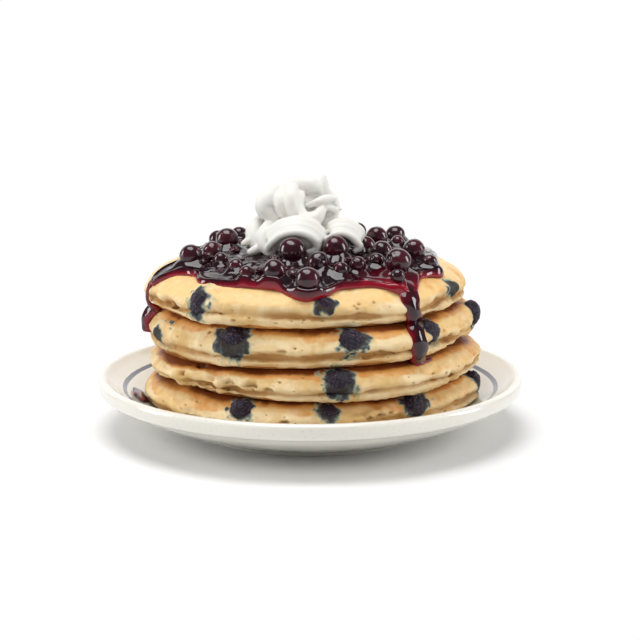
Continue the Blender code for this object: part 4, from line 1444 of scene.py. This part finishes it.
class BuildCream(bpy.types.Operator):
    """Lays the whipped cream's folds over its cores and merges them into one soft surface"""

    bl_idname = "pancakes.cream"
    bl_label = "Whipped cream"

    def execute(self, context):
        settings = context.scene.stack_cream
        material = cream_material(settings)
        ball = ball_grid(64, 40)
        grids = [np.array(middle) * MM + ball * np.array(half) * MM for middle, half in CREAM_CORES]
        hoods = tuple(hood(lip, *step) for lip in CREAM_LIPS for step in HOOD_STEPS)
        grids += [fold_grid(keys) for keys in CREAM_FOLDS + CREAM_LIPS + hoods]
        mesh = joined_surfaces("cream_folds", grids, [{} for _ in grids])
        draft = bpy.data.objects.new("cream_draft", mesh)
        context.scene.collection.objects.link(draft)
        merge = draft.modifiers.new("merge", "REMESH")
        merge.mode = "VOXEL"
        merge.voxel_size = settings.voxel
        merge.use_smooth_shade = True
        relax = draft.modifiers.new("relax", "SMOOTH")
        relax.factor = 0.5
        relax.iterations = 7
        context.view_layer.update()
        graph = context.evaluated_depsgraph_get()
        final = bpy.data.meshes.new_from_object(draft.evaluated_get(graph))
        final.name = "cream_swirl"
        final.shade_smooth()
        bpy.data.objects.remove(draft)
        if len(final.polygons) < 1000:
            raise RuntimeError("the cream's folds did not merge")
        place_piece(final, material, "cream", "whipped_cream")
        return {"FINISHED"}


# ---------------------------------------------------------------- stage

# The middle of the stack, that the lights face, the floor's half width, and where the floor's painted glow
# starts and reaches full white, which ends its shadow near the plate.
MIDDLE = (0.0, 0.0, 60 * MM)
FLOOR_HALF = 60.0
GLOW_FROM, GLOW_TO = 98 * MM, 145 * MM


class BuildStage(bpy.types.Operator):
    """Sets the pale floor, which glows white as painted light beyond the plate, the soft lights and the
    camera
    """

    bl_idname = "pancakes.stage"
    bl_label = "Stage"

    def execute(self, context):
        settings = context.scene.stack_stage
        scene = context.scene
        scene.view_settings.view_transform = "Standard"
        scene.view_settings.look = "None"
        material, tree, shader = new_material("pale_floor")
        position = add_node(tree, "ShaderNodeVectorMath", {0: object_coordinates(tree)}, operation="LENGTH")
        # Painted light: from GLOW_FROM outward the floor turns from lit to glowing white, which cuts its
        # shadow off near the plate.
        glow = spread(tree, position.outputs["Value"], GLOW_FROM, GLOW_TO)
        linked(
            tree,
            shader,
            {
                "Base Color": mix(tree, glow, tuple(settings.floor_colour), (0.0, 0.0, 0.0)),
                "Roughness": 0.9,
                "Specular IOR Level": 0.1,
                "Emission Color": mix(tree, glow, (0.0, 0.0, 0.0), (1.0, 1.0, 1.0)),
                "Emission Strength": 1.0,
            },
        )
        mesh = bpy.data.meshes.new("floor")
        corners = [(x * FLOOR_HALF, y * FLOOR_HALF, 0) for x, y in ((-1, -1), (1, -1), (1, 1), (-1, 1))]
        mesh.from_pydata(corners, [], [(0, 1, 2, 3)])
        mesh.materials.append(material)
        floor = bpy.data.objects.new("floor", mesh)
        scene.collection.objects.link(floor)
        world = bpy.data.worlds.new("studio")
        world.use_nodes = True
        world.node_tree.nodes["Background"].inputs["Color"].default_value = (1.0, 1.0, 1.0, 1.0)
        world.node_tree.nodes["Background"].inputs["Strength"].default_value = 0.14
        scene.world = world
        self.light("key", (-0.12, -0.10, 1.15), MIDDLE, 1.0, 0.8, settings.key_power)
        self.light("backdrop", (0.0, 2.2, 0.9), (0.0, 0.0, 0.3), 5.0, 2.0, settings.backdrop_power)
        for side in (-1, 1):
            place = (0.95 * side, -1.0, 0.75)
            fill = self.light("front", place, MIDDLE, 0.8, 0.8, settings.front_power)
            fill.visible_glossy = False
            self.light("side", (1.1 * side, 0.0, 0.42), (0.0, 0.0, 0.03), 0.35, 0.7, settings.side_power)
        camera = bpy.data.cameras.new("camera")
        camera.lens = CAMERA_LENS
        camera.sensor_width = 36.0
        eye = bpy.data.objects.new("camera", camera)
        lift = math.radians(CAMERA_ELEVATION)
        target = CAMERA_TARGET
        eye.location = (
            target[0],
            target[1] - CAMERA_DISTANCE * math.cos(lift),
            target[2] + CAMERA_DISTANCE * math.sin(lift),
        )
        eye.rotation_euler = (math.radians(90 - CAMERA_ELEVATION), 0.0, 0.0)
        scene.collection.objects.link(eye)
        scene.camera = eye
        return {"FINISHED"}

    def light(self, name, place, target, width, depth, power):
        """An area light at a place, turned to face its target."""
        lamp = bpy.data.lights.new(name, "AREA")
        lamp.shape = "ELLIPSE"
        lamp.size = width
        lamp.size_y = depth
        lamp.energy = power
        obj = bpy.data.objects.new(name, lamp)
        bpy.context.scene.collection.objects.link(obj)
        away = np.array(place) - np.array(target)
        heading = math.atan2(away[0], -away[1])
        tilt = math.atan2(math.hypot(away[0], away[1]), away[2])
        obj.location = place
        obj.rotation_euler = (tilt, 0.0, heading)
        return obj


# ---------------------------------------------------------------- add-on

GROUPS = (
    ("stack_plate", PlateSettings),
    ("stack_pancakes", PancakeSettings),
    ("stack_baked", BakedBerrySettings),
    ("stack_compote", CompoteSettings),
    ("stack_berries", BerrySettings),
    ("stack_cream", CreamSettings),
    ("stack_stage", StageSettings),
)
OPERATORS = (BuildPlate, BuildPancakes, BuildBakedBerries, BuildCompote, BuildBerries, BuildCream, BuildStage)


class PancakePanel(bpy.types.Panel):
    """Lists the pieces and their settings"""

    bl_idname = "VIEW3D_PT_pancakes"
    bl_label = "Pancake stack"
    bl_space_type = "VIEW_3D"
    bl_region_type = "UI"
    bl_category = "Pancakes"

    def draw(self, context):
        for operator in OPERATORS:
            self.layout.operator(operator.bl_idname)
        for name, group in GROUPS:
            box = self.layout.box()
            for key in group.__annotations__:
                box.prop(getattr(context.scene, name), key)


def register():
    for name, group in GROUPS:
        bpy.utils.register_class(group)
        setattr(bpy.types.Scene, name, bpy.props.PointerProperty(type=group))
    for operator in OPERATORS:
        bpy.utils.register_class(operator)
    bpy.utils.register_class(PancakePanel)


def unregister():
    bpy.utils.unregister_class(PancakePanel)
    for operator in reversed(OPERATORS):
        bpy.utils.unregister_class(operator)
    for name, group in reversed(GROUPS):
        delattr(bpy.types.Scene, name)
        bpy.utils.unregister_class(group)


def main():
    register()
    bpy.ops.pancakes.plate()
    bpy.ops.pancakes.pancakes()
    bpy.ops.pancakes.baked_berries()
    bpy.ops.pancakes.compote()
    bpy.ops.pancakes.berries()
    bpy.ops.pancakes.cream()
    bpy.ops.pancakes.stage()


if __name__ == "__main__":
    main()
